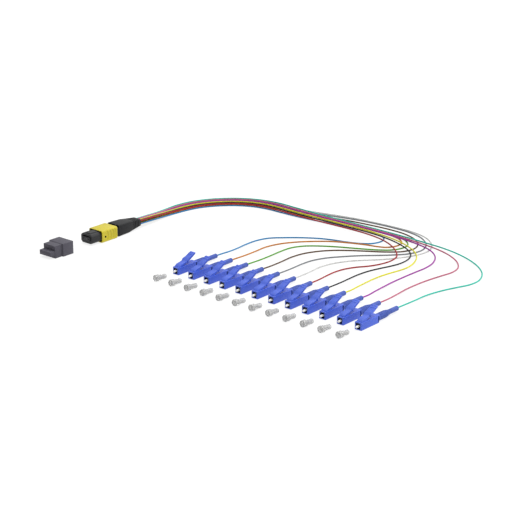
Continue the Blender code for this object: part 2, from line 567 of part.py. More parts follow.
def smooth_route(points, fine=12):
    """The smooth curve through hand-set points, finely sampled."""
    ends = [2 * points[0] - points[1]] + points + [2 * points[-1] - points[-2]]
    line = [between(*ends[i:i + 4], step / fine)
            for i in range(len(points) - 1) for step in range(fine)]
    return line + [points[-1]]


def thinned(line, count):
    """Fewer points on the same line, closer together where it bends."""
    bend_weight = 9.0         # millimetres of length that one radian of bend counts for
    travel = [0.0]
    for i in range(1, len(line)):
        step = line[i] - line[i - 1]
        turn = step.angle(line[i + 1] - line[i]) if i + 1 < len(line) else 0.0
        travel.append(travel[-1] + step.length + bend_weight * turn)
    wanted = [travel[-1] * i / (count - 1) for i in range(count)]
    picked = []
    here = 0
    for goal in wanted:
        while here + 1 < len(line) - 1 and travel[here + 1] < goal:
            here += 1
        share = (goal - travel[here]) / (travel[here + 1] - travel[here])
        picked.append(line[here].lerp(line[here + 1], min(max(share, 0.0), 1.0)))
    return picked


def place_fibres():
    """Each fibre as a round tube along its own route."""
    for number, (colour_name, colour, own) in enumerate(FIBRES):
        points = [lane_point(station, number) for station in TRUNK]
        points += [Vector(point) for point in own]
        line = smooth_route(points)
        for point in line:
            point.z = max(point.z, (FIBRE_RADIUS + FIBRE_LIFT) / MM)
        line = thinned(line, FIBRE_SAMPLES)
        name = f"fibre_{number + 1:02d}_{colour_name}"
        curve = bpy.data.curves.new(name, "CURVE")
        curve.dimensions = "3D"
        curve.bevel_depth = FIBRE_RADIUS
        curve.bevel_resolution = 2
        curve.use_fill_caps = True
        spline = curve.splines.new("POLY")
        spline.points.add(len(line) - 1)
        for point, place in zip(spline.points, line):
            point.co = (*(place * MM), 1)
        add(name, curve, finish=material("fibre_" + colour_name, colour, 0.4))


place_small_plugs()
place_big_plug()
place_cover()
place_fibres()
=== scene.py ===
# %% [markdown]
# # A fibre breakout cable
# One keyed plug holds the ends of twelve coated glass fibres. The fibres leave it as a bundle,
# lie in a wide arch and fan out to twelve small latch plugs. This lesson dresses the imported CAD
# model of that cable: each solid is replaced by a finer piece, made of real edges, ribs and
# bores, and given a material of its own. All sizes below are in millimetres and are turned into
# metres once, when a piece is finished.

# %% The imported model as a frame
import math

import bmesh
import bpy
from mathutils import Matrix, Vector


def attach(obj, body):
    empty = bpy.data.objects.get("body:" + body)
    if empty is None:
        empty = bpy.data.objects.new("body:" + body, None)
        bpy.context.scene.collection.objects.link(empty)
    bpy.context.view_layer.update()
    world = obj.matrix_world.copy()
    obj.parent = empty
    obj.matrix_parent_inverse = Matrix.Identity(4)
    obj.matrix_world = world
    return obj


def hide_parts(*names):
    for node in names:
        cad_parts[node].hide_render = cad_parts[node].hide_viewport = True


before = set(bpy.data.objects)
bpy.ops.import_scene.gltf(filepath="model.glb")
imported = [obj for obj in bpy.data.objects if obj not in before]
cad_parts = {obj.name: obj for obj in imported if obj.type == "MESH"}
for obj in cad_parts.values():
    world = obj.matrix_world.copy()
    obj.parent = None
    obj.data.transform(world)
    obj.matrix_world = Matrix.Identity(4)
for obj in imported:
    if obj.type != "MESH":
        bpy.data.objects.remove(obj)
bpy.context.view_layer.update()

MM = 0.001
print("solids in the frame:", len(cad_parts))

# %% [markdown]
# ## The camera
# The cable was photographed from about 19 degrees above the surface, with a long lens, so that
# all the small plugs look nearly the same size. A camera can be pointed by a constraint, but a
# plain rotation matrix of its right, up and back directions says the same in three vectors.

# %% Camera at the photograph's angle
TURN, LIFT = math.radians(40.52), math.radians(19.38)
FOCAL_PIXELS, PHOTO_PIXELS = 1617, 512
EYE = Vector((684.55, -656.35, 320.72))

lens = bpy.data.cameras.new("photo_camera")
lens.sensor_width = 36.0
lens.lens = FOCAL_PIXELS / PHOTO_PIXELS * lens.sensor_width
lens.clip_end = 10.0
camera = bpy.data.objects.new("photo_camera", lens)
bpy.context.scene.collection.objects.link(camera)
right = Vector((math.cos(TURN), math.sin(TURN), 0))
back = Vector((math.sin(TURN) * math.cos(LIFT), -math.cos(TURN) * math.cos(LIFT), math.sin(LIFT)))
camera.rotation_euler = Matrix((right, back.cross(right), back)).transposed().to_euler()
camera.location = EYE * MM
bpy.context.scene.camera = camera
print("camera lens", round(lens.lens, 1), "mm")

# %% [markdown]
# ## The studio
# The photograph is a catalogue picture: white ground, light from above, hardly a shadow. One
# lamp would throw hard shadows, and an even sky would light fronts as much as tops. A sky that
# is brightest overhead and a little behind acts as one huge softbox. The ground is a light
# table, as in such pictures: it glows, so that shadows fade on it. A faint sun adds sparkle.

# %% Sky as a softbox
SOFTBOX_AIM, SOFTBOX_EDGE, SOFTBOX_POWER = Vector((0.2, 0.42, 0.88)), 0.06, 1.95

world = bpy.data.worlds.new("studio_sky")
world.use_nodes = True
sky = world.node_tree.nodes["Background"]
sky.inputs["Color"].default_value = (1.0, 1.0, 1.0, 1.0)
direction = world.node_tree.nodes.new("ShaderNodeTexCoord").outputs["Generated"]
aim = world.node_tree.nodes.new("ShaderNodeVectorMath")
aim.operation = "DOT_PRODUCT"
aim.inputs[1].default_value = SOFTBOX_AIM
world.node_tree.links.new(direction, aim.inputs[0])
glow = world.node_tree.nodes.new("ShaderNodeMapRange")
glow.inputs["To Min"].default_value = SOFTBOX_EDGE
glow.inputs["To Max"].default_value = SOFTBOX_POWER
world.node_tree.links.new(aim.outputs["Value"], glow.inputs["Value"])
world.node_tree.links.new(glow.outputs["Result"], sky.inputs["Strength"])
bpy.context.scene.world = world
bpy.context.scene.view_settings.view_transform = "Standard"
print("sky from", SOFTBOX_EDGE, "at the edge to", SOFTBOX_POWER, "overhead")

# %% Sun
SUN_POWER, SUN_SPREAD, SUN_TILT = 0.7, 40, (-6, 10, 0)

sun = bpy.data.lights.new("soft_sun", "SUN")
sun.energy = SUN_POWER
sun.angle = math.radians(SUN_SPREAD)
lamp = bpy.data.objects.new("soft_sun", sun)
bpy.context.scene.collection.objects.link(lamp)
lamp.rotation_euler = [math.radians(turn) for turn in SUN_TILT]

# %% Light table
TABLE_SIZE, TABLE_GREY, TABLE_GLOW = 8, 0.22, 0.8

bpy.ops.mesh.primitive_plane_add(size=TABLE_SIZE)
floor = bpy.context.object
floor.name = "studio_floor"
table = bpy.data.materials.new("light_table")
table.use_nodes = True
surface = table.node_tree.nodes["Principled BSDF"]
surface.inputs["Base Color"].default_value = (TABLE_GREY, TABLE_GREY, TABLE_GREY, 1)
surface.inputs["Roughness"].default_value = 0.9
surface.inputs["Specular IOR Level"].default_value = 0.0
surface.inputs["Emission Color"].default_value = (1, 1, 1, 1)
surface.inputs["Emission Strength"].default_value = TABLE_GLOW
floor.data.materials.append(table)
print("table:", TABLE_SIZE, "m across")

# %% [markdown]
# ## Finishes
# Nearly every piece is a moulded plastic. A real moulding is never one flat colour: the pigment
# is a little uneven, the skin has a fine spark-eroded grain and the gloss changes with it. Noise
# on Object coordinates gives all three, and it needs no unwrapping. Colours that don't change
# over a surface stay on the shader's own sockets.

# %% One recipe for moulded plastic
GLOSS_DRIFT, GRAIN_HEIGHT = 0.08, 0.02 * MM


def moulded(name, light, dark, roughness, grain, bump, sheen=0.0, coat=0.0, cloud=60.0,
            shine=0.35):
    """A plastic that drifts from a light to a dark pigment, with a fine grain on its skin."""
    made = bpy.data.materials.new(name)
    made.use_nodes = True
    nodes, links = made.node_tree.nodes, made.node_tree.links
    shader = nodes["Principled BSDF"]
    place = nodes.new("ShaderNodeTexCoord").outputs["Object"]

    drift = nodes.new("ShaderNodeTexNoise")
    drift.inputs["Scale"].default_value = cloud
    drift.inputs["Detail"].default_value = 4.0
    links.new(place, drift.inputs["Vector"])
    ramp = nodes.new("ShaderNodeValToRGB")
    ramp.color_ramp.elements[0].position = 0.3
    ramp.color_ramp.elements[0].color = (*dark, 1.0)
    ramp.color_ramp.elements[1].position = 0.7
    ramp.color_ramp.elements[1].color = (*light, 1.0)
    links.new(drift.outputs["Fac"], ramp.inputs["Fac"])
    links.new(ramp.outputs["Color"], shader.inputs["Base Color"])

    skin = nodes.new("ShaderNodeTexNoise")
    skin.inputs["Scale"].default_value = grain
    skin.inputs["Detail"].default_value = 3.0
    links.new(place, skin.inputs["Vector"])
    gloss = nodes.new("ShaderNodeMapRange")
    gloss.inputs["To Min"].default_value = roughness - GLOSS_DRIFT
    gloss.inputs["To Max"].default_value = roughness + GLOSS_DRIFT
    links.new(skin.outputs["Fac"], gloss.inputs["Value"])
    links.new(gloss.outputs["Result"], shader.inputs["Roughness"])
    relief = nodes.new("ShaderNodeBump")
    relief.inputs["Strength"].default_value = bump
    relief.inputs["Distance"].default_value = GRAIN_HEIGHT
    links.new(skin.outputs["Fac"], relief.inputs["Height"])
    links.new(relief.outputs["Normal"], shader.inputs["Normal"])

    shader.inputs["Specular IOR Level"].default_value = shine
    shader.inputs["Sheen Weight"].default_value = sheen
    shader.inputs["Coat Weight"].default_value = coat
    return made


print("grain:", round(GRAIN_HEIGHT / MM, 3), "mm high")

# %% The plastics of this cable
plug_blue = moulded("plug_blue", (0.040, 0.106, 0.64), (0.030, 0.086, 0.55), 0.42, 5200, 0.35,
                    shine=0.65)
# Painted shade: a darker blue for the walls of the side slots, whose plastic is the plug's own
# blue.
slot_painted_shade = moulded("slot_painted_shade", (0.018, 0.060, 0.33), (0.014, 0.048, 0.27), 0.55, 5200, 0.3)
# Painted shade: a near black blue for the floor and walls of the nose hole, which are the plug's
# own blue.
nose_painted_shade = moulded("nose_inside_painted_shade", (0.006, 0.010, 0.05), (0.004, 0.007, 0.035), 0.6, 5200, 0.3,
                    shine=0.2)
boot_blue = moulded("boot_blue", (0.052, 0.098, 0.42), (0.042, 0.082, 0.36), 0.58, 3400, 0.5,
                    sheen=0.08)
sleeve_yellow = moulded("sleeve_yellow", (0.565, 0.475, 0.009), (0.505, 0.42, 0.007), 0.42,
                        4800, 0.35, shine=0.5)
housing_black = moulded("housing_black", (0.024, 0.0245, 0.026), (0.016, 0.0165, 0.018), 0.42,
                        5200, 0.4, shine=0.25)
relief_black = moulded("relief_black", (0.010, 0.0105, 0.012), (0.006, 0.0065, 0.0075), 0.55,
                       3400, 0.5, sheen=0.04, shine=0.25)
cover_grey = moulded("cover_grey", (0.078, 0.074, 0.094), (0.065, 0.061, 0.080), 0.5, 4200, 0.4,
                     shine=0.25)
resin_grey = moulded("ferrule_resin", (0.020, 0.020, 0.024), (0.012, 0.012, 0.015), 0.35,
                     7000, 0.5, shine=0.3)
ceramic = moulded("white_ceramic", (0.90, 0.89, 0.86), (0.85, 0.84, 0.81), 0.16, 9000, 0.1,
                  coat=0.4)
# Painted shade: near black for the walls and floor of the sleeve's shallow round holes, standing
# for shade and the black nose beyond.
hole_painted_shade = moulded("sleeve_hole_painted_shade", (0.004, 0.004, 0.003), (0.002, 0.002, 0.0015), 0.9, 5200, 0.1,
                     shine=0.0)
glass_core = moulded("glass_core", (0.30, 0.31, 0.32), (0.22, 0.23, 0.24), 0.08, 9000, 0.0)
print("finishes:", len(bpy.data.materials))

# %% [markdown]
# The small caps are a milky, half clear plastic. A full glass shader would look like a lens,
# and a plain grey one like metal. One shader that is about half rough transmission and half
# pigment lets the bore show through the wall and darkens where the wall is seen edge on.

# %% Milky cap plastic
CLEAR_SHARE, CLEAR_IOR = 0.55, 1.35
cap_milky = moulded("cap_milky", (0.68, 0.68, 0.675), (0.62, 0.62, 0.615), 0.42, 3000, 0.25)
cap_shader = cap_milky.node_tree.nodes["Principled BSDF"]
cap_shader.inputs["Transmission Weight"].default_value = CLEAR_SHARE
cap_shader.inputs["IOR"].default_value = CLEAR_IOR
print("caps:", CLEAR_SHARE, "clear")

# %% [markdown]
# ## Finishing a piece
# A piece is drawn with bmesh operators in millimetres. Before it is used, its doubled points are
# merged, its faces are turned outwards and it is scaled to metres. Its place goes into its mesh,
# so that the object itself stays at the origin, as the solids of the frame do.

# %% From a bmesh to a piece on a body
SAME_POINT = 0.0005


def to_mesh(name, shape, finishes, sharp=38):
    """Closes a bmesh drawn in millimetres and returns it as a mesh in metres."""
    bmesh.ops.remove_doubles(shape, verts=shape.verts, dist=SAME_POINT)
    bmesh.ops.recalc_face_normals(shape, faces=shape.faces)
    bmesh.ops.scale(shape, vec=(MM, MM, MM), verts=shape.verts)
    mesh = bpy.data.meshes.new(name)
    shape.to_mesh(mesh)
    shape.free()
    for finish in finishes:
        mesh.materials.append(finish)
    mesh.shade_smooth()
    mesh.set_sharp_from_angle(angle=math.radians(sharp))
    print(name, "has", len(mesh.polygons), "faces")
    return mesh


def piece(name, mesh, body="cable", node=None):
    """An object for a finished mesh, riding on a body and standing for a solid if it has one."""
    made = bpy.data.objects.new(name, mesh)
    bpy.context.scene.collection.objects.link(made)
    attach(made, body)
    if node:
        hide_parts(node)
    return made


def moved(mesh, x):
    """A copy of a mesh, shifted along the row by millimetres."""
    copy = mesh.copy()
    copy.transform(Matrix.Translation((x * MM, 0, 0)))
    return copy


# %% [markdown]
# ## Small tools for shaping
# A few moves come back in nearly every piece, so each gets a helper. The first ones make a box,
# find a face by the way it looks, and pull that face out to a new place.

# %% Block, finding a face and pulling it
# points closer than the first count as in one place, faces closer than the second as on a side
HAIR, SKIN = 0.01, 0.1


def block(width, front, rear, low, high, middle=0.0):
    """A bmesh with one box, from its front to its rear along Y and from low to high."""
    shape = bmesh.new()
    bmesh.ops.create_cube(shape, size=1.0)
    bmesh.ops.scale(shape, vec=(width, rear - front, high - low), verts=shape.verts)
    bmesh.ops.translate(shape, vec=(middle, (front + rear) / 2, (low + high) / 2),
                        verts=shape.verts)
    return shape


def facing(direction, beyond=-math.inf, least=0.9):
    """A test for faces that look along a direction and lie beyond a place along it."""
    way = Vector(direction)
    return lambda f: f.normal.dot(way) > least and f.calc_center_median().dot(way) > beyond


def face_towards(shape, direction, near=None):
    """Of the faces that look along a direction, the one furthest out or nearest to a point."""
    shape.normal_update()
    looking = list(filter(facing(direction), shape.faces))
    if near is None:
        return max(looking, key=lambda f: f.calc_center_median().dot(Vector(direction)))
    return min(looking, key=lambda f: (f.calc_center_median() - Vector(near)).length)


def pull(shape, face, move=(0, 0, 0), spread=(1, 1, 1)):
    """Extrudes one face by a move and scales it about its own middle."""
    made = bmesh.ops.extrude_discrete_faces(shape, faces=[face])["faces"][0]
    bmesh.ops.translate(shape, vec=move, verts=made.verts)
    bmesh.ops.scale(shape, vec=spread, verts=made.verts,
                    space=Matrix.Translation(-made.calc_center_median()))
    made.normal_update()
    return made


trial = block(1, 0, 1, 0, 1)
pull(trial, face_towards(trial, (0, 1, 0)), (0, 1, 0))
print("a block with one face pulled out has", len(trial.faces), "faces")
trial.free()

# %% [markdown]
# Planes cut a face into strips or a patch, and a patch can be turned into a round hole: its
# edges are divided, and the points are moved onto a circle.

# %% Slices, a patch and a round hole
def slices(shape, axis, places, keep=lambda f: True):
    """Cuts the chosen faces by planes across one axis."""
    normal = [0, 0, 0]
    normal[axis] = 1
    for place in places:
        spot = [0, 0, 0]
        spot[axis] = place
        faces = [f for f in shape.faces if keep(f)]
        parts = faces + list({e for f in faces for e in f.edges}) + \
            list({v for f in faces for v in f.verts})
        bmesh.ops.bisect_plane(shape, geom=parts, dist=1e-5, plane_co=spot, plane_no=normal)


def patch(shape, direction, near, half):
    """Cuts a square patch out of a flat face, round a point."""
    for axis in range(3):
        if abs(direction[axis]) < 0.5:
            target = face_towards(shape, direction, near)
            slices(shape, axis, (near[axis] - half, near[axis] + half), keep=lambda f: f == target
                   or (f.normal - target.normal).length < HAIR
                   and (f.calc_center_median() - Vector(near)).length < 40 * half)


def sink_hole(shape, direction, near, radius, depth, finish=0):
    """Sinks a round hole into the square face that lies at a point."""
    face = face_towards(shape, direction, near)
    bmesh.ops.bisect_edges(shape, edges=list(face.edges), cuts=3)
    face = face_towards(shape, direction, near)
    rim = pull(shape, face)
    along = Vector(direction)
    for vert in rim.verts:
        out = vert.co - Vector(near)
        out -= along * out.dot(along)
        vert.co = vert.co - out + out.normalized() * radius
    floor_face = pull(shape, rim, -along * depth)
    for wall in {f for e in floor_face.edges for f in e.link_faces}:
        wall.material_index = finish


trial = block(1, 0, 1, 0, 1)
slices(trial, 0, (-0.2, 0.2))
print("a block cut by two planes has", len(trial.faces), "faces")
trial.free()

# %% [markdown]
# Real edges are never knife sharp, so the sharp ones of each piece get a small bevel. Pieces
# that are the same all round are spun from a half profile, a list of places along the axis and
# radii.

# %% Softened edges and turned bodies
def soften(shape, offset, segments=2, angle=25, keep=lambda e: True):
    """Bevels the edges that are sharper than an angle."""
    shape.normal_update()
    sharp = [e for e in shape.edges if len(e.link_faces) == 2 and keep(e)
             and e.calc_face_angle(0.0) > math.radians(angle)]
    bmesh.ops.bevel(shape, geom=sharp, offset=offset, segments=segments, profile=0.5,
                    affect="EDGES", material=-1, clamp_overlap=True)


def turned(profile, height, steps=32):
    """A body turned about the line along Y at a height, from (y, radius) pairs."""
    shape = bmesh.new()
    line = [shape.verts.new((0, y, height + radius)) for y, radius in profile]
    edges = [shape.edges.new(pair) for pair in zip(line, line[1:])]
    bmesh.ops.spin(shape, geom=line + edges, cent=(0, 0, height), axis=(0, 1, 0),
                   angle=math.tau, steps=steps, use_merge=True, use_duplicate=False)
    bmesh.ops.remove_doubles(shape, verts=shape.verts, dist=SAME_POINT)
    return shape


def arc(middle_y, middle_r, radius, start, end, count=5):
    """(y, radius) pairs along a rounded corner of a turned profile, angles in degrees."""
    spots = [math.radians(start + (end - start) * i / (count - 1)) for i in range(count)]
    return [(middle_y + radius * math.cos(a), middle_r + radius * math.sin(a)) for a in spots]


print("a quarter arc has", len(arc(0, 0, 1, 90, 0)), "points")

# %% [markdown]
# ## The fibres
# Each fibre is a glass thread in a 0.9 mm coloured coating. It could be simulated as a rope, but
# the photograph shows where each one lies, so its route is given as points. It starts in a shared
# bundle, with six lanes below and six above.

# %% The shared bundle
FIBRE_RADIUS = 0.45
FIBRE_LOWEST = 0.48
LANES = 6
# place in plan, heading in degrees from +X, spacing of the lanes, lower row, upper row over it
TRUNK = [
    (0.0, 29.1, 90, 1.0, 2.8, 2.0), (0.0, 33.0, 90, 1.0, 2.75, 2.0),
    (-0.9, 43.0, 96, 1.05, 2.1, 2.0), (-2.4, 53.0, 98, 1.15, 1.2, 1.9),
    (-3.8, 64.0, 95, 1.5, 0.58, 1.6), (-3.9, 75.0, 86, 1.95, 0.48, 1.35),
    (-1.2, 87.0, 70, 2.2, 0.48, 1.26), (5.2, 98.0, 53, 2.3, 0.48, 1.26),
    (14.5, 107.3, 38, 2.35, 0.48, 1.26), (26.0, 113.7, 20, 2.35, 0.48, 1.26),
    (38.5, 116.3, 4, 2.35, 0.48, 1.26),
]
print("stations of the bundle:", len(TRUNK))

# %% [markdown]
# Past the bundle, each fibre has its own points, as far as its small plug's boot. A smooth curve
# through the points bends as a springy thread does. A curve object with a round bevel is the
# natural shape for it, and its length can be measured on its own line.

# %% Each fibre's own points
# name, colour and points, which lie on the surface where no height is given
FIBRES = [
    ("blue", (0.02, 0.211, 0.451), [
        (52, 110.6), (66, 110.9), (80, 112.2), (95, 113.8), (108, 115), (119, 115.4),
        (127, 114.4), (132, 111.3), (134, 106), (132.2, 99.5), (127, 95), (119, 91.6),
        (110.3, 89.2), (102, 86), (92.5, 80), (84, 72.8), (77.6, 66), (74.9, 57.9, 0.53),
        (75.2, 47.2, 0.84), (77.1, 37.1, 1.4), (78.2, 28.7, 1.91), (78.2, 23.2, 2.16),
        (78, 17.3, 2.25)]),
    ("orange", (0.51, 0.17, 0.004), [
        (52, 113.1), (66, 113.9), (80, 115.6), (95, 117.8), (109, 119.5), (122, 120),
        (133, 118.8), (141, 115.8), (145.6, 110.8), (146, 104.5), (142.8, 99), (137.5, 96.6),
        (130, 94.6), (121, 91.2), (111, 86.2), (102.5, 79.3), (95, 71.1), (89.4, 61.5),
        (87.3, 51.6, 0.66), (88.6, 40.5, 1.18), (90, 29.6, 1.87), (90.2, 23.2, 2.16),
        (90, 17.3, 2.25)]),
    ("green", (0.086, 0.34, 0.007), [
        (52, 115.6), (66, 116.8), (80, 119), (95, 121.4), (109, 122.6), (123, 122.6),
        (136, 120.2), (145.5, 116), (150.5, 110.3), (151, 103.5), (148, 97), (142.8, 92.6),
        (136, 88.6), (128.5, 84.8), (120, 80.6), (111.2, 75.2), (103.5, 68.5), (99.6, 61),
        (99.2, 51.6, 0.66), (100.6, 40.5, 1.18), (102, 29.6, 1.87), (102.2, 23.2, 2.16),
        (102, 17.3, 2.25)]),
    ("brown", (0.093, 0.042, 0.013), [
        (52, 118.1), (66, 119.8), (80, 122.6), (95, 125.6), (109, 127.2), (123, 128), (136, 127),
        (147, 122.7), (154.5, 115.5), (157.2, 107.3), (155, 99.2), (147.5, 91.8), (138, 85.6),
        (129, 79.6), (121.5, 73.4), (115.8, 66), (111.9, 56.9, 0.55), (111.2, 46.7, 0.87),
        (112.8, 36.1, 1.46), (113.8, 28.9, 1.9), (114.2, 23.2, 2.16), (114, 17.3, 2.25)]),
    ("slate", (0.196, 0.208, 0.221), [
        (52, 120.6), (66, 122.9), (80, 126.2), (95, 129.8), (109, 131.6), (123, 132.3),
        (137, 131.4), (149, 127.2), (158.5, 118.5), (162.4, 108.5), (160.3, 98.5), (154, 90.2),
        (147, 83.2), (140.2, 76.8), (133.2, 68.6), (126.9, 59.6), (124, 50.6, 0.69),
        (124.1, 40.5, 1.18), (125.5, 31, 1.8), (126.1, 23.7, 2.14), (126, 17.3, 2.25)]),
    ("white", (0.612, 0.612, 0.599), [
        (52, 123), (66, 125.5), (80, 128.9), (95, 131.9), (109, 133.2), (123, 133.9),
        (137, 133.5), (150.5, 129.6), (161.2, 120.8), (166.2, 110), (165, 99), (160, 88.6),
        (154.6, 80.4), (148, 73), (141.2, 65), (136.5, 55.3, 0.58), (135.1, 44.4, 0.98),
        (136.7, 34.1, 1.6), (137.6, 27.7, 1.95), (138, 22.4, 2.17), (138, 17.3, 2.25)]),
    ("red", (0.34, 0.004, 0.009), [
        (52, 110, 1.74), (66, 109.4, 1.74), (80, 109.3, 1.74), (94, 109.5, 1.74),
        (108, 109.6, 1.74), (121, 108.9, 1.74), (133, 106.4, 1.74), (144, 101.4, 1.74),
        (153.5, 94, 1.74), (160, 85.5, 1.74), (161.3, 77.6, 1.6), (159, 71.2, 1),
        (155, 64.8, 0.55), (150.5, 58.5, 0.51), (147.6, 51.1, 0.68), (147.1, 42.2, 1.09),
        (148.4, 32.8, 1.68), (149.7, 24.9, 2.09), (150, 17.3, 2.25)]),
    ("black", (0.006, 0.006, 0.008), [
        (52, 112.4, 1.74), (66, 112, 1.74), (80, 112, 1.74), (94, 112.2, 1.74),
        (108, 112.2, 1.74), (121, 111.8, 1.74), (134, 110.1, 1.74), (146, 106.6, 1.74),
        (157, 101, 1.74), (164.4, 94, 1.74), (167.4, 87, 1.5), (167.1, 80, 0.95),
        (164.9, 73.3, 0.55), (162.3, 66), (160.1, 57.4, 0.54), (159.6, 47.8, 0.81),
        (160.6, 38.2, 1.32), (161.7, 29.9, 1.85), (162.1, 23.2, 2.16), (162, 17.3, 2.25)]),
    ("yellow", (0.7, 0.66, 0.005), [
        (52, 114.9, 1.74), (66, 114.5, 1.74), (80, 114.5, 1.74), (94, 114.6, 1.74),
        (108, 114.6, 1.74), (121, 114.1, 1.74), (134, 112.5, 1.74), (147, 109, 1.74),
        (158.6, 103.3, 1.74), (167.6, 95.4, 1.74), (172.6, 86.8, 1.5), (174.2, 78.5, 0.95),
        (173.3, 71.5, 0.55), (171.7, 64), (170.6, 55.8, 0.57), (170.8, 46.1, 0.89),
        (172.1, 36.6, 1.43), (173.2, 29.2, 1.88), (174.1, 23.2, 2.16), (174, 17.3, 2.25)]),
    ("violet", (0.323, 0.015, 0.323), [
        (52, 117.3, 1.74), (66, 116.9, 1.74), (80, 116.7, 1.74), (94, 116.8, 1.74),
        (108, 116.8, 1.74), (121, 116.6, 1.74), (134, 116, 1.74), (147, 114.7, 1.74),
        (159, 112.3, 1.74), (169.3, 108, 1.74), (177.2, 101, 1.5), (181.3, 92.5, 0.95),
        (182.2, 83.5, 0.55), (181.8, 74.5), (181.5, 63), (181.8, 51.6, 0.66), (183.2, 40.5, 1.17),
        (184.8, 31, 1.8), (186.1, 23.2, 2.16), (186, 17.3, 2.25)]),
    ("rose", (0.5, 0.12, 0.2), [
        (52, 119.3, 1.74), (66, 118.7, 1.74), (80, 118.3, 1.74), (94, 118.2, 1.74),
        (108, 118.2, 1.74), (121, 118.1, 1.74), (134, 117.7, 1.74), (147, 116.8, 1.74),
        (159, 115.3, 1.74), (171, 112.8, 1.74), (182, 109, 1.5), (191, 103.6, 0.9),
        (196.6, 96.2, 0.5), (198.2, 87.8), (196.8, 79), (195.2, 69), (194.3, 58.4, 0.51),
        (194.7, 47.2, 0.84), (196.3, 37.1, 1.4), (197.5, 29.6, 1.87), (198.1, 23.2, 2.16),
        (198, 17.3, 2.25)]),
    ("aqua", (0.025, 0.51, 0.388), [
        (52, 121.7, 1.74), (66, 121, 1.74), (80, 120.5, 1.74), (94, 120.2, 1.74),
        (108, 120.2, 1.74), (121, 120.2, 1.74), (134, 119.9, 1.74), (147, 119.2, 1.74),
        (159, 118.3, 1.74), (171, 117.1, 1.74), (183, 114.9, 1.5), (194.6, 111.3, 0.9),
        (205, 105.2, 0.5), (213.2, 96.4), (217.6, 86), (217.4, 77.5), (214.8, 70), (211.8, 62),
        (209.7, 53.2, 0.63), (209, 44.4, 0.98), (209.6, 36, 1.47), (210, 29, 1.89),
        (210.1, 23.2, 2.16), (210, 17.3, 2.25)]),
]
print("fibres:", len(FIBRES), "with", sum(len(own) for _, _, own in FIBRES), "points of their own")

# %% [markdown]
# The bundle's stations are shared, so a fibre's place in it is worked out from its lane. The
# smooth curve is the centripetal one, which passes through every point and never loops. Each
# fibre starts a little inside the strain relief and ends inside its small plug's boot, so that
# no cut end shows.

# %% Smooth routes
BUNDLE_INSIDE = [(0.0, 25.6, 90, 0.95, 2.9, 2.0)]
BOOT_INSIDE = 2.4


def lane_point(station, number):
    """Where a fibre's lane crosses a station of the bundle."""
    x, y, heading, spacing, low, rise = station
    row, lane = divmod(number, LANES)
    across = math.radians(heading + 90)
    offset = (lane - (LANES - 1) / 2) * spacing
    return Vector((x + offset * math.cos(across), y + offset * math.sin(across),
                   low + row * rise))


def between(before, start, end, after, share):
    """A point on the centripetal curve that passes through start and end."""
    knots = [0.0]
    for first, second in ((before, start), (start, end), (end, after)):
        knots.append(knots[-1] + math.sqrt((second - first).length))
    t = knots[1] + (knots[2] - knots[1]) * share
    a = [before.lerp(start, t / knots[1]),
         start.lerp(end, (t - knots[1]) / (knots[2] - knots[1])),
         end.lerp(after, (t - knots[2]) / (knots[3] - knots[2]))]
    b = [a[0].lerp(a[1], t / knots[2]),
         a[1].lerp(a[2], (t - knots[1]) / (knots[3] - knots[1]))]
    return b[0].lerp(b[1], share)


def smooth_route(points, fine=10):
    """The smooth line through given points, kept from sinking into the surface."""
    ends = [2 * points[0] - points[1]] + points + [2 * points[-1] - points[-2]]
    line = [between(*ends[i:i + 4], step / fine)
            for i in range(len(points) - 1) for step in range(fine)] + [points[-1]]
    for point in line:
        point.z = max(point.z, FIBRE_LOWEST)
    return line


def length_of(line):
    """How long a line of points is, in millimetres."""
    return sum((b - a).length for a, b in zip(line, line[1:]))


print("lanes in a row of the bundle:", LANES)

# %% A curve for each fibre
JACKET_DARKEST = 0.8


def jacket(name, colour):
    """A fibre's coating: smooth, a little uneven from being drawn through a die."""
    dark = tuple(c * JACKET_DARKEST for c in colour)
    return moulded(name, colour, dark, 0.4, 2600, 0.12, cloud=220.0, shine=0.2)


def own_point(place):
    """A listed point. Where only a place in plan is given, the fibre lies on the surface."""
    return Vector(place) if len(place) == 3 else Vector((*place, FIBRE_LOWEST))


fibres = []
for number, (colour_name, colour, own) in enumerate(FIBRES):
    stations = [lane_point(s, number) for s in BUNDLE_INSIDE + TRUNK]
    inside_boot = own_point(own[-1]) - Vector((0, BOOT_INSIDE, 0))
    line = smooth_route(stations + [own_point(p) for p in own] + [inside_boot])
    name = f"fibre_{number + 1:02d}_{colour_name}"
    curve = bpy.data.curves.new("coated_" + name, "CURVE")
    curve.dimensions = "3D"
    curve.bevel_depth = FIBRE_RADIUS * MM
    curve.bevel_resolution = 3
    curve.use_fill_caps = True
    spline = curve.splines.new("POLY")
    spline.points.add(len(line) - 1)
    for point, place in zip(spline.points, line):
        point.co = (*(place * MM), 1.0)
    spline.use_smooth = True
    curve.materials.append(jacket("jacket_" + colour_name, colour))
    thread = piece("coated_" + name, curve, node=name)
    fibres.append((thread, line))
    print(name, "is", round(length_of(line)), "mm long")

# %% [markdown]
# ## The small plug's housing
# Each fibre ends in a small plug: a square housing 4.5 mm across with an open nose, and a spring
# latch that rises over it. On the real one, housing and latch are moulded in one shot, so here
# they are one mesh too: the latch grows out of the housing's top face by pulling one face after
# another, as one would in edit mode. Joining separate boxes would leave hidden walls inside.

# %% Housing: the hole in its nose
ROW_START, ROW_PITCH, PLUGS = 78.0, 12.0, 12
SIDE, NOSE_Y, REAR_Y = 4.5, -18.2, -2.2
AXIS_Z = SIDE / 2
NOSE_HOLE_W, NOSE_HOLE_H, NOSE_HOLE_ROUND, NOSE_HOLE_DEPTH = 2.4, 2.8, 0.5, 5.9
# The second and third finishes of a housing are painted shade, in the nose hole and in the side
# slots.
INSIDE_SHADE_PAINT, SLOT_SHADE_PAINT = 1, 2


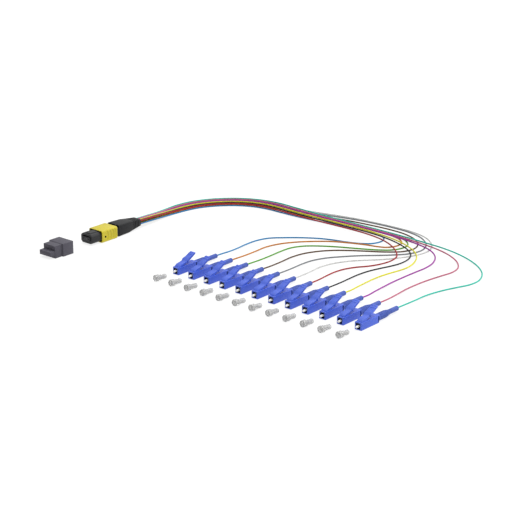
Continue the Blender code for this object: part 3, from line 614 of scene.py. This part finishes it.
def open_nose(shape):
    """Insets the front face, narrows it, pushes it in and rounds the hole's corners."""
    front = face_towards(shape, (0, -1, 0))
    bmesh.ops.inset_individual(shape, faces=[front], thickness=(SIDE - NOSE_HOLE_H) / 2, depth=0.0)
    bmesh.ops.scale(shape, vec=(NOSE_HOLE_W / NOSE_HOLE_H, 1, 1), verts=front.verts)
    floor_face = pull(shape, front, (0, NOSE_HOLE_DEPTH, 0))
    corners = [e for v in floor_face.verts for e in v.link_edges if e not in floor_face.edges[:]]
    bmesh.ops.bevel(shape, geom=corners, offset=NOSE_HOLE_ROUND, segments=3, profile=0.5,
                    affect="EDGES", material=-1)
    floor_face = face_towards(shape, (0, -1, 0), near=(0, NOSE_Y + NOSE_HOLE_DEPTH, AXIS_Z))
    # the hole's floor and walls get painted shade, a near black blue
    for wall in {f for v in floor_face.verts for f in v.link_faces}:
        wall.material_index = INSIDE_SHADE_PAINT


print("a housing is", REAR_Y - NOSE_Y, "mm long")

# %% Housing: a slot in each side
SLOT_Y, SLOT_Z, SLOT_DEPTH = (-3.25, -2.4), (0.6, 4.0), 0.7


def side_slots(shape):
    """A slot in each side, where the collar that holds the boot snaps in; its inside is painted
    shade.
    """
    for side in (-1, 1):
        near = (side * SIDE / 2, sum(SLOT_Y) / 2, sum(SLOT_Z) / 2)
        flank = facing((side, 0, 0), SIDE / 2 - SKIN)
        shape.normal_update()
        slices(shape, 1, SLOT_Y, keep=flank)
        slices(shape, 2, SLOT_Z, keep=flank)
        bottom = pull(shape, face_towards(shape, (side, 0, 0), near), (-side * SLOT_DEPTH, 0, 0))
        # the slot's bottom and walls get painted shade, a darker blue
        for wall in {f for e in bottom.edges for f in e.link_faces}:
            wall.material_index = SLOT_SHADE_PAINT


print("a slot is", round(SLOT_Y[1] - SLOT_Y[0], 2), "mm wide")

# %% [markdown]
# The latch is a springy arm that starts near the nose, carries two lugs as wide as the housing
# and runs on as a thumb lever. The lugs catch in the socket, and pressing the lever frees them.
# Its stations below are read from the photograph: how far along, how high and how wide.

# %% Latch: root and arm, pulled out of the housing's top
ROOT = (-17.0, -13.1)
ROOT_WIDTH = 3.8
ROOT_LIFT, ROOT_THICK, ROOT_SLOPE = 0.15, 1.0, 1.5
# y of a station of the arm, its underside, its top, its width
ARM = [(-13.1, 4.95, 6.05, 3.8), (-11.3, 5.4, 6.4, 3.85), (-10.4, 5.75, 6.9, 3.9),
       (-9.4, 5.95, 7.75, 3.9), (-8.0, 6.6, 8.2, 3.75), (-5.0, 8.25, 9.6, 3.7),
       (-3.45, 9.1, 10.15, 3.7), (-3.1, 9.3, 10.1, 3.6)]


def grow_root(shape):
    """A block with a sloped front on the housing's top; its rear end starts the arm."""
    top = facing((0, 0, 1), SIDE - SKIN)
    shape.normal_update()
    slices(shape, 1, ROOT, keep=top)
    slices(shape, 0, (-ROOT_WIDTH / 2, ROOT_WIDTH / 2), keep=top)
    root = face_towards(shape, (0, 0, 1), near=(0, sum(ROOT) / 2, SIDE))
    step = pull(shape, root, (0, 0, ROOT_LIFT))
    crown = pull(shape, step, (0, 0, ROOT_THICK))
    for vert in crown.verts:
        if vert.co.y < ROOT[0] + HAIR:
            vert.co.y += ROOT_SLOPE
    y, low, high, _ = ARM[0]
    for vert in shape.verts:
        if vert.co.z > SIDE + HAIR and vert.co.y > ROOT[1] - HAIR:
            vert.co.z = high if vert.co.z > SIDE + ROOT_LIFT + HAIR else low
    return face_towards(shape, (0, 1, 0), near=(0, y, (low + high) / 2))


def grow_arm(shape, end):
    """The arm and its lever, pulled on from the root's rear end, station by station."""
    for (y, low, high, width), (next_y, next_low, next_high, next_width) in zip(ARM, ARM[1:]):
        rise = (next_low + next_high - low - high) / 2
        end = pull(shape, end, (0, next_y - y, rise),
                   (next_width / width, 1, (next_high - next_low) / (high - low)))


print("the latch reaches", round(ARM[-1][0] - ROOT[0], 1), "mm back")

# %% Latch: lugs and thumb ridges
# the stretch of the arm with the lugs, and how far they hang below it
LUG_SPAN, LUG_DROP = (-10.4, -9.4), 0.4
ARM_FROM_Z, LEVER_FROM_Z, LEVER_Z = 5.0, 7.8, 9.3
LEVER_LOOKS = (0, -0.45, 0.9)
RIDGES = ((-5.9, -5.6), (-4.5, -4.2))
RIDGE_HEIGHT, RIDGE_LEAN, RIDGE_TAPER = 0.12, 0.4, (0.86, 0.7, 1)


def add_lugs(shape):
    """Widens the arm to the housing's width on both sides, and a little downwards."""
    shape.normal_update()
    middle = sum(LUG_SPAN) / 2
    arm_width = next(width for y, _, _, width in ARM if y >= middle)
    for side in (-1, 1):
        flanks = [f for f in shape.faces
                  if f.normal.x * side > 0.9 and f.calc_center_median().z > ARM_FROM_Z]
        flank = min(flanks, key=lambda f: abs(f.calc_center_median().y - middle))
        lug = pull(shape, flank, (side * (SIDE - arm_width) / 2, 0, 0))
        middle_z = lug.calc_center_median().z
        for vert in lug.verts:
            if vert.co.z < middle_z:
                vert.co.z -= LUG_DROP


def ridge_lever(shape):
    """Two fine ridges across the lever, for the thumb."""
    for low, high in RIDGES:
        shape.normal_update()
        slices(shape, 1, (low, high), keep=facing((0, 0, 1), LEVER_FROM_Z, least=0.8))
        strip = face_towards(shape, LEVER_LOOKS, near=(0, (low + high) / 2, LEVER_Z))
        pull(shape, strip, (0, -RIDGE_HEIGHT * RIDGE_LEAN, RIDGE_HEIGHT), RIDGE_TAPER)


print("ridges on a lever:", len(RIDGES))

# %% Housing and latch as one mesh
LATCH_ROUND, HOUSING_ROUND = 0.09, 0.25


def on_outline(vert):
    """Whether a point lies on the housing's outer skin, and not at the latch's foot."""
    across, z = abs(vert.co.x), vert.co.z
    at_foot = across < SIDE / 2 - SKIN and z > SIDE - HAIR
    return z < SIDE + HAIR and max(across, abs(z - AXIS_Z)) > SIDE / 2 - HAIR and not at_foot


def housing_mesh():
    """Nose, latch and ridges on one block. The slots come last, so their edges stay sharp."""
    shape = block(SIDE, NOSE_Y, REAR_Y, 0, SIDE)
    open_nose(shape)
    grow_arm(shape, grow_root(shape))
    add_lugs(shape)
    ridge_lever(shape)
    soften(shape, LATCH_ROUND, 2, keep=lambda e: min(v.co.z for v in e.verts) > SIDE + SKIN / 2)
    soften(shape, HOUSING_ROUND, 3, keep=lambda e: all(on_outline(v) for v in e.verts))
    side_slots(shape)
    return to_mesh("latch_housing", shape, (plug_blue, nose_painted_shade, slot_painted_shade))


housing_master = housing_mesh()

# %% [markdown]
# ## Ferrule, boot and cap
# These three are turned parts: each is the same all the way round its axis, so a half profile
# and a full spin make it. The ferrule is a ground white ceramic rod with a chamfer and the glass
# core in its end. The boot is a soft sleeve with rings that let it bend. The cap is a milky tube
# with a thicker head.

# %% Ceramic ferrule
FERRULE_R, FERRULE_TIP_Y = 0.625, -19.9
# how far behind the tip, and how much narrower than the rod
FERRULE_CHAMFER = ((0, 0.14), (0.05, 0.06), (0.22, 0))
SEAT_R, SEAT_LONG, SEAT_GAP = 1.05, 0.6, 0.02
CORE_R = 0.09


def ferrule_mesh():
    """A chamfered rod with glass in its tip, standing on a round seat inside the nose."""
    base = NOSE_Y + NOSE_HOLE_DEPTH
    profile = [(FERRULE_TIP_Y, 0), (FERRULE_TIP_Y, CORE_R)]
    profile += [(FERRULE_TIP_Y + back, FERRULE_R - less) for back, less in FERRULE_CHAMFER]
    profile += [(base - SEAT_LONG, FERRULE_R), (base - SEAT_LONG, SEAT_R),
                (base - SEAT_GAP, SEAT_R), (base - SEAT_GAP, 0)]
    shape = turned(profile, AXIS_Z)
    for face in shape.faces:
        spot = face.calc_center_median()
        if math.hypot(spot.x, spot.z - AXIS_Z) < CORE_R and spot.y < FERRULE_TIP_Y + HAIR:
            face.material_index = 1
    return to_mesh("ferrule", shape, (ceramic, glass_core))


ferrule_master = ferrule_mesh()

# %% Ribbed boot
BOOT_FRONT_Y, BOOT_END_Y = -1.9, 17.0
BOOT_R, BOOT_TIP_R, BOOT_EDGE = 2.1, 1.4, 0.2
TAPER = (5.0, 10.0)
RIB_PITCH, RIB_GROOVE, RIB_DEPTH = 0.95, 0.3, 0.16
RIBS_FROM, RIB_COUNT = -0.4, 12
PLAIN_NECK = (11.0, 12.5, 14.5)
# a ring near the tip and the tip's lip: how far before the end, and how deep
BOOT_TIP = ((1.1, 0), (1.0, 0.12), (0.8, 0.12), (0.7, 0), (0.3, 0), (0.08, 0.1), (0, 0.3))
BOOT_BORE, BOOT_BORE_DEPTH = 0.56, 4.0
LIP_WIDE, LIP_DEEP = 0.12, 0.15


def boot_radius(y):
    """The boot's outer radius along its length, eased where the taper starts and ends."""
    share = min(max((y - TAPER[0]) / (TAPER[1] - TAPER[0]), 0.0), 1.0)
    eased = share * share * (3 - 2 * share)
    return BOOT_R + (BOOT_TIP_R - BOOT_R) * eased


def groove(width, ramp=0.06):
    """The four corners of a steep groove: how far along, and 1 where it is deep."""
    return (0, 0), (ramp, 1), (width - ramp, 1), (width, 0)


def boot_mesh():
    """Ribs on the thick end, a plain neck, a ring near the tip and a bore for the fibre."""
    profile = [(BOOT_FRONT_Y, 0), (BOOT_FRONT_Y, BOOT_R - BOOT_EDGE),
               (BOOT_FRONT_Y + BOOT_EDGE, BOOT_R)]
    for rib in range(RIB_COUNT):
        y = RIBS_FROM + rib * RIB_PITCH
        profile += [(y + along, boot_radius(y + along) - deep * RIB_DEPTH)
                    for along, deep in groove(RIB_GROOVE)]
    profile += [(y, boot_radius(y)) for y in PLAIN_NECK]
    profile += [(BOOT_END_Y - back, BOOT_TIP_R - deep) for back, deep in BOOT_TIP]
    profile += [(BOOT_END_Y, BOOT_BORE + LIP_WIDE), (BOOT_END_Y - LIP_DEEP, BOOT_BORE),
                (BOOT_END_Y - BOOT_BORE_DEPTH, BOOT_BORE), (BOOT_END_Y - BOOT_BORE_DEPTH, 0)]
    return to_mesh("ribbed_boot", turned(profile, AXIS_Z), (boot_blue,))


boot_master = boot_mesh()

# %% Pulled-off cap, tipped as it lies
CAP_LENGTH, CAP_HEAD, CAP_HEAD_R, CAP_TUBE_R = 8.5, 2.9, 1.95, 1.4
CAP_BORE, CAP_BORE_DEPTH, CAP_END_Y, CAP_SHIFT = 0.675, 6.0, -26.3, -0.6
CAP_FLAT_R, HEAD_ROUND, NECK_ROUND, TUBE_ROUND = 1.35, 0.45, 0.25, 0.3
NECK_STEP, BORE_POINT = 0.15, 0.35


def cap_mesh():
    """A bored tube with a thicker head, tipped so that both touch the surface."""
    head_rear = CAP_HEAD - CAP_LENGTH
    profile = [(-CAP_LENGTH, 0), (-CAP_LENGTH, CAP_FLAT_R)]
    profile += arc(-CAP_LENGTH + HEAD_ROUND, CAP_HEAD_R - HEAD_ROUND, HEAD_ROUND, 180, 90)
    profile += arc(head_rear - NECK_ROUND, CAP_HEAD_R - NECK_ROUND, NECK_ROUND, 90, 0, 4)
    profile += [(head_rear, CAP_TUBE_R + NECK_STEP), (head_rear + NECK_STEP, CAP_TUBE_R)]
    profile += arc(-TUBE_ROUND, CAP_TUBE_R - TUBE_ROUND, TUBE_ROUND, 90, 0, 4)
    profile += [(0, CAP_BORE + LIP_WIDE), (-LIP_DEEP, CAP_BORE), (-CAP_BORE_DEPTH, CAP_BORE),
                (-CAP_BORE_DEPTH - BORE_POINT, 0)]
    shape = turned(profile, 0, 36)
    tip = math.atan((CAP_HEAD_R - CAP_TUBE_R) / (CAP_LENGTH - CAP_HEAD))
    lying = Matrix.Translation((0, CAP_END_Y, CAP_TUBE_R * math.cos(tip)))
    bmesh.ops.transform(shape, matrix=lying @ Matrix.Rotation(-tip, 4, "X"), verts=shape.verts)
    return to_mesh("milky_cap", shape, (cap_milky,))


cap_master = cap_mesh()

# %% [markdown]
# ## The row of twelve
# The plugs are alike, so each piece is a copy of one finished mesh, shifted along the row. Linked
# copies would save memory, but then the place would sit on the object instead of in the mesh.

# %% Plugs and caps in their places
for number in range(PLUGS):
    x = ROW_START + number * ROW_PITCH
    label = f"{number + 1:02d}"
    on_cord = [piece("latch_housing_" + label, moved(housing_master, x),
                     node="lc_plug_" + label),
               piece("ceramic_ferrule_" + label, moved(ferrule_master, x)),
               piece("ribbed_boot_" + label, moved(boot_master, x),
                     node="lc_boot_" + label)]
    piece("milky_cap_" + label, moved(cap_master, x + CAP_SHIFT),
          node="lc_dust_cap_" + label)
    thread, line = fibres[number]
print("small plugs:", PLUGS)

# %% [markdown]
# ## The big plug's coupling sleeve
# The yellow sleeve is what fingers hold: it slides back along the nose to free the plug. It is a
# rounded tube with softened rims, curved grip grooves on both sides and a small round hole near
# the front. The tube comes from a block: both ends are inset, and one inset face is pushed right
# through to the other. A boolean cut would do the same, but leaves less even faces.

# %% A bar and a tube about the big plug's axis
BIG_Z = 3.85


def round_lengthwise(shape, offset, segments, shortest=1.0, clamp=False):
    """Rounds or chamfers the edges that run along the plug."""
    along = [e for e in shape.edges if abs(e.verts[0].co.y - e.verts[1].co.y) > shortest]
    bmesh.ops.bevel(shape, geom=along, offset=offset, segments=segments, profile=0.5,
                    affect="EDGES", material=-1, clamp_overlap=clamp)


def bar(width, height, front, rear, corner, segments):
    """A block on the axis with rounded or chamfered long edges."""
    shape = block(width, front, rear, BIG_Z - height / 2, BIG_Z + height / 2)
    round_lengthwise(shape, corner, segments)
    return shape


def tube(width, height, front, rear, corner, hole_width, hole_height):
    """A bar with a hole of the same form right through."""
    shape = bar(width, height, front, rear, corner, 4)
    share = (hole_width / width, 1, hole_height / height)
    mouth, back = [pull(shape, face_towards(shape, (0, s, 0)), (0, 0, 0), share) for s in (-1, 1)]
    far_end = pull(shape, mouth, (0, rear - front, 0))
    bmesh.ops.delete(shape, geom=[far_end, back], context="FACES_ONLY")
    bmesh.ops.remove_doubles(shape, verts=shape.verts, dist=0.001)
    return shape


print("the big plug's axis is", BIG_Z, "mm up")

# %% [markdown]
# The grip's grooves are real dents. The sleeve's sides are cut into a fine grid, and each point
# of the grid is pushed in by as much as a groove is deep there. A bump in the material would
# look the same from afar, but the outline would stay straight.

# %% Grip grooves
SLEEVE_W, SLEEVE_H = 11.6, 7.7
SLEEVE_FRONT, SLEEVE_REAR = -6.5, 6.5
GRIPS = (-1.5, 0.9, 3.3, 5.1)
# the bow is how far forward a groove has swung at this height above or below the middle
GRIP_DEPTH, GRIP_WIDTH, GRIP_BOW, BOW_HEIGHT = 0.36, 0.6, 1.0, 3.0
GRIP_HALF, GRIP_FADE = 3.1, 0.5
GRIP_START = GRIPS[0] - GRIP_BOW - GRIP_WIDTH


def grip_depth(y, z):
    """How deep the grip's curved grooves are at a point of the sleeve's side."""
    fade = min(max((GRIP_HALF - abs(z - BIG_Z)) / GRIP_FADE, 0.0), 1.0)
    bowed = y + GRIP_BOW * ((z - BIG_Z) / BOW_HEIGHT) ** 2
    deepest = 0.0
    for middle in GRIPS:
        away = abs(bowed - middle) / GRIP_WIDTH
        deepest = max(deepest, GRIP_DEPTH * max(0.0, 1.0 - away * away))
    return deepest * fade


def on_side(face):
    """Whether a face lies on the sleeve's left or right side."""
    return (abs(face.normal.x) > 0.9
            and abs(face.calc_center_median().x) > SLEEVE_W / 2 - SKIN / 2)


print("grooves on a side:", len(GRIPS))

# %% Sleeve
BORE_W, BORE_H = 10.3, 6.5
SLEEVE_ROUND, RIM_ROUND = 1.1, 0.22
DOT_Y, DOT_Z, DOT_R, DOT_SINK = -3.75, 3.55, 0.72, 0.6
# the grid that the grooves are pushed into: first line, spacing and number of lines
GRID_Y, GRID_Z = (GRIP_START, 0.15, 62), (1.2, 0.33, 17)


def grid_lines(first, spacing, count):
    """Evenly spaced places, for the planes that cut the grid."""
    return [first + spacing * i for i in range(count)]


def sleeve_mesh():
    """The tube with softened rims, a round hole in each side and the grip's grooves."""
    shape = tube(SLEEVE_W, SLEEVE_H, SLEEVE_FRONT, SLEEVE_REAR, SLEEVE_ROUND, BORE_W, BORE_H)
    soften(shape, RIM_ROUND, 2, keep=lambda e: any(
        all(abs(v.co.y - end) < HAIR for v in e.verts) for end in (SLEEVE_FRONT, SLEEVE_REAR)))
    shape.normal_update()
    for way in (-1, 1):
        near = (way * SLEEVE_W / 2, DOT_Y, DOT_Z)
        patch(shape, (way, 0, 0), near, DOT_R * 1.2)
        # each hole is a shallow pit, its walls and floor in painted shade
        sink_hole(shape, (way, 0, 0), near, DOT_R, DOT_SINK, 1)
    shape.normal_update()
    slices(shape, 1, grid_lines(*GRID_Y), keep=on_side)
    slices(shape, 2, grid_lines(*GRID_Z),
           keep=lambda f: on_side(f) and f.calc_center_median().y > GRIP_START)
    for vert in shape.verts:
        if abs(vert.co.x) > SLEEVE_W / 2 - 2 * HAIR and vert.co.y > DOT_Y + 1.4 * DOT_R:
            vert.co.x -= math.copysign(grip_depth(vert.co.y, vert.co.z), vert.co.x)
    return to_mesh("coupling_sleeve", shape, (sleeve_yellow, hole_painted_shade), sharp=30)


piece("grip_sleeve", sleeve_mesh(), "coupling_sleeve", "mpo_coupling_sleeve")

# %% [markdown]
# ## The nose, its key and the ferrule block
# The black nose is an octagonal bar with a raised key on top, which fits only one way round. Its
# open front holds the rectangular ferrule block: twelve fibre ends in one line between two guide
# holes. The pocket is an inset face pushed in, and the key is a strip of the top face pulled up.

# %% Nose housing
NOSE_W, NOSE_H, NOSE_FRONT, NOSE_CHAMFER, NOSE_ROUND = 9.7, 5.9, -14.3, 1.2, 0.18
KEY_W, KEY_SPAN, KEY_RISE, KEY_TAPER = 4.2, (-13.1, -6.8), 0.5, (0.94, 0.97, 1)
BLOCK_W, BLOCK_H, BLOCK_FRONT, BLOCK_REAR = 6.4, 2.5, -14.7, -6.7
POCKET_GAP, POCKET_REAR = 0.3, -5.4


def nose_mesh():
    """A chamfered bar with a key on its top and a pocket for the ferrule block."""
    shape = bar(NOSE_W, NOSE_H, NOSE_FRONT, SLEEVE_REAR, NOSE_CHAMFER, 1)
    shape.normal_update()
    slices(shape, 1, KEY_SPAN, keep=facing((0, 0, 1)))
    slices(shape, 0, (-KEY_W / 2, KEY_W / 2), keep=facing((0, 0, 1)))
    key = face_towards(shape, (0, 0, 1), near=(0, sum(KEY_SPAN) / 2, BIG_Z + NOSE_H / 2))
    pull(shape, key, (0, 0, KEY_RISE), KEY_TAPER)
    front = face_towards(shape, (0, -1, 0))
    pocket_w, pocket_h = BLOCK_W + 2 * POCKET_GAP, BLOCK_H + 2 * POCKET_GAP
    mouth = pull(shape, front, (0, 0, 0), (pocket_w / NOSE_W, 1, pocket_h / NOSE_H))
    pull(shape, mouth, (0, POCKET_REAR - NOSE_FRONT, 0))
    soften(shape, NOSE_ROUND, 3,
           keep=lambda e: min(v.co.y for v in e.verts) < POCKET_REAR - SKIN)
    return to_mesh("keyed_nose", shape, (housing_black,))


piece("keyed_nose", nose_mesh(), node="mpo_nose_housing")

# %% Ferrule block with its fibre ends and guide holes
GUIDE_X, GUIDE_R, GUIDE_DEEP, GUIDE_PATCH = 2.3, 0.35, 2.0, 0.45
CORE_PITCH, CORE_SINK = 0.25, 0.02
BLOCK_ROUND = 0.1


def ferrule_block_mesh():
    """A block whose front is cut into a small square for each hole before they are sunk."""
    shape = block(BLOCK_W, BLOCK_FRONT, BLOCK_REAR, BIG_Z - BLOCK_H / 2, BIG_Z + BLOCK_H / 2)
    soften(shape, BLOCK_ROUND, 2)
    front = facing((0, -1, 0))
    first = -CORE_PITCH * (PLUGS - 1) / 2
    cores = [first + CORE_PITCH * i for i in range(PLUGS)]

    def between_guides(face):
        spot = face.calc_center_median()
        return (front(face) and abs(spot.x) < GUIDE_X - GUIDE_PATCH
                and abs(spot.z - BIG_Z) < GUIDE_PATCH)

    shape.normal_update()
    slices(shape, 0, [x + way * GUIDE_PATCH for x in (-GUIDE_X, GUIDE_X) for way in (-1, 1)],
           keep=front)
    slices(shape, 2, [BIG_Z - GUIDE_PATCH, BIG_Z + GUIDE_PATCH], keep=front)
    slices(shape, 2, [BIG_Z - CORE_PITCH / 2, BIG_Z + CORE_PITCH / 2], keep=between_guides)
    slices(shape, 0, [x - CORE_PITCH / 2 for x in cores + [cores[-1] + CORE_PITCH]],
           keep=between_guides)
    for x in (-GUIDE_X, GUIDE_X):
        sink_hole(shape, (0, -1, 0), (x, BLOCK_FRONT, BIG_Z), GUIDE_R, GUIDE_DEEP, 1)
    for x in cores:
        sink_hole(shape, (0, -1, 0), (x, BLOCK_FRONT, BIG_Z), CORE_R * 0.9, CORE_SINK, 2)
    return to_mesh("ferrule_block", shape, (resin_grey, housing_black, glass_core))


piece("ferrule_block", ferrule_block_mesh(), "ferrule_block", "mpo_ferrule_block")

# %% [markdown]
# ## Crimp body and strain relief
# Behind the sleeve sits the crimp body, and over it the soft strain relief. The relief is one
# smooth piece: a rounded block that tapers to a mouth just wide enough for the bundle. It is
# lofted here by pulling a block's rear face back and shrinking it at each station.

# %% Crimp body
CRIMP_FRONT, CRIMP_NECK_END, CRIMP_REAR, CRIMP_R, CRIMP_ROUND = 6.8, 8.3, 14.3, 2.2, 0.15


def crimp_mesh():
    """A short bar as wide as the nose, stepped down to a collar under the strain relief."""
    shape = bar(NOSE_W, NOSE_H, CRIMP_FRONT, CRIMP_NECK_END, NOSE_CHAMFER, 2)
    rear = face_towards(shape, (0, 1, 0))
    collar = pull(shape, rear, (0, HAIR, 0), (2 * CRIMP_R / NOSE_W, 1, 2 * CRIMP_R / NOSE_H))
    pull(shape, collar, (0, CRIMP_REAR - CRIMP_NECK_END, 0))
    soften(shape, CRIMP_ROUND, 2)
    return to_mesh("crimp_body", shape, (housing_black,))


piece("crimp_body", crimp_mesh(), node="mpo_crimp_body")

# %% Strain relief: its stations
RELIEF_FRONT = 8.6
# y, width and height: stations up to the taper, and the taper's end
RELIEF = [(RELIEF_FRONT, 10.2, 7.5), (18.3, 9.3, 7.2), (20.5, 8.75, 6.65)]
RELIEF_END = (29.5, 6.7, 4.6)
RELIEF_GROOVES, GROOVE_DEEP, GROOVE_WIDE = (22.4, 23.9, 25.4, 26.9), 0.28, 0.5


def taper(y):
    """Width and height of the relief's taper at a place along it."""
    (y0, w0, h0), (y1, w1, h1) = RELIEF[-1], RELIEF_END
    share = (y - y0) / (y1 - y0)
    return w0 + (w1 - w0) * share, h0 + (h1 - h0) * share


def relief_stations():
    """The stations above, and four for each fine groove across the taper."""
    made = list(RELIEF)
    for y in RELIEF_GROOVES:
        for along, deep in groove(GROOVE_WIDE):
            width, height = taper(y + along)
            cut = deep * 2 * GROOVE_DEEP
            made.append((y + along, width - cut, height - cut))
    return made + [RELIEF_END]


print("stations of the relief:", len(relief_stations()))

# %% Strain relief: one skin through them
RELIEF_ROUND, RELIEF_EDGE = 1.0, 0.2
MOUTH_W, MOUTH_H, MOUTH_DEPTH = 6.3, 3.7, 4.5


def relief_mesh():
    """A block's rear face pulled through all stations, rounded, with a mouth for the bundle."""
    (y, width, height), *rest = relief_stations()
    shape = block(width, y, rest[0][0], BIG_Z - height / 2, BIG_Z + height / 2)
    end = face_towards(shape, (0, 1, 0))
    bmesh.ops.scale(shape, vec=(rest[0][1] / width, 1, rest[0][2] / height), verts=end.verts,
                    space=Matrix.Translation((0, 0, -BIG_Z)))
    for (y, width, height), (next_y, next_width, next_height) in zip(rest, rest[1:]):
        end = pull(shape, end, (0, next_y - y, 0), (next_width / width, 1, next_height / height))
    round_lengthwise(shape, RELIEF_ROUND, 4, shortest=0.03, clamp=True)
    rear = face_towards(shape, (0, 1, 0))
    mouth = pull(shape, rear, (0, 0, 0), (MOUTH_W / RELIEF_END[1], 1, MOUTH_H / RELIEF_END[2]))
    pull(shape, mouth, (0, -MOUTH_DEPTH, 0))
    soften(shape, RELIEF_EDGE, 2,
           keep=lambda e: all(v.co.y - RELIEF_FRONT < HAIR for v in e.verts))
    return to_mesh("strain_relief", shape, (relief_black,), sharp=45)


piece("strain_relief", relief_mesh(), node="mpo_strain_relief")

# %% [markdown]
# ## The big plug's cap
# It lies pulled off in front of the plug: a wide hollow rim, a narrower nose and a low tongue to
# pull it by. Each is the face of the one before, shrunk and pulled on, so the cap is one skin.

# %% Big cap
COVER_X, COVER_ROUND = -0.35, 0.3
COVER_REAR, COVER_STEP, COVER_FRONT, TONGUE_FRONT = -30.7, -38.9, -44.5, -48.0
# widths and heights of the rim, the nose, the tongue and the two stages of the hollow
RIM, COVER_NOSE, TONGUE = (12.2, 7.92), (9.9, 7.6), (9.5, 2.8)
HOLLOW, HOLLOW_END = (10.3, 7.0), (7.6, 5.0)
STEP_LONG, STEP_DROP, TONGUE_DROP = 0.3, 0.16, 0.6
HOLLOW_DEEP, HOLLOW_END_DEEP = 7.25, 4.35


def from_to(old, new):
    """How a face of one width and height is spread to get another."""
    return new[0] / old[0], 1, new[1] / old[1]


def cover_mesh():
    """Rim, nose and tongue pulled forwards from a block, then the hollow from its rear."""
    shape = block(RIM[0], COVER_STEP, COVER_REAR, 0, RIM[1], COVER_X)
    front = face_towards(shape, (0, -1, 0))
    nose = pull(shape, front, (0, -STEP_LONG, -STEP_DROP), from_to(RIM, COVER_NOSE))
    nose = pull(shape, nose, (0, COVER_FRONT - COVER_STEP + STEP_LONG, 0))
    tongue = pull(shape, nose, (0, 0, -TONGUE_DROP), from_to(COVER_NOSE, TONGUE))
    pull(shape, tongue, (0, TONGUE_FRONT - COVER_FRONT, 0))
    rear = face_towards(shape, (0, 1, 0))
    mouth = pull(shape, rear, (0, 0, 0), from_to(RIM, HOLLOW))
    ledge = pull(shape, mouth, (0, -HOLLOW_DEEP, 0))
    inner = pull(shape, ledge, (0, 0, 0), from_to(HOLLOW, HOLLOW_END))
    pull(shape, inner, (0, -HOLLOW_END_DEEP, 0))
    soften(shape, COVER_ROUND, 3)
    return to_mesh("big_cap", shape, (cover_grey,))


piece("big_cap", cover_mesh(), node="mpo_dust_cap")
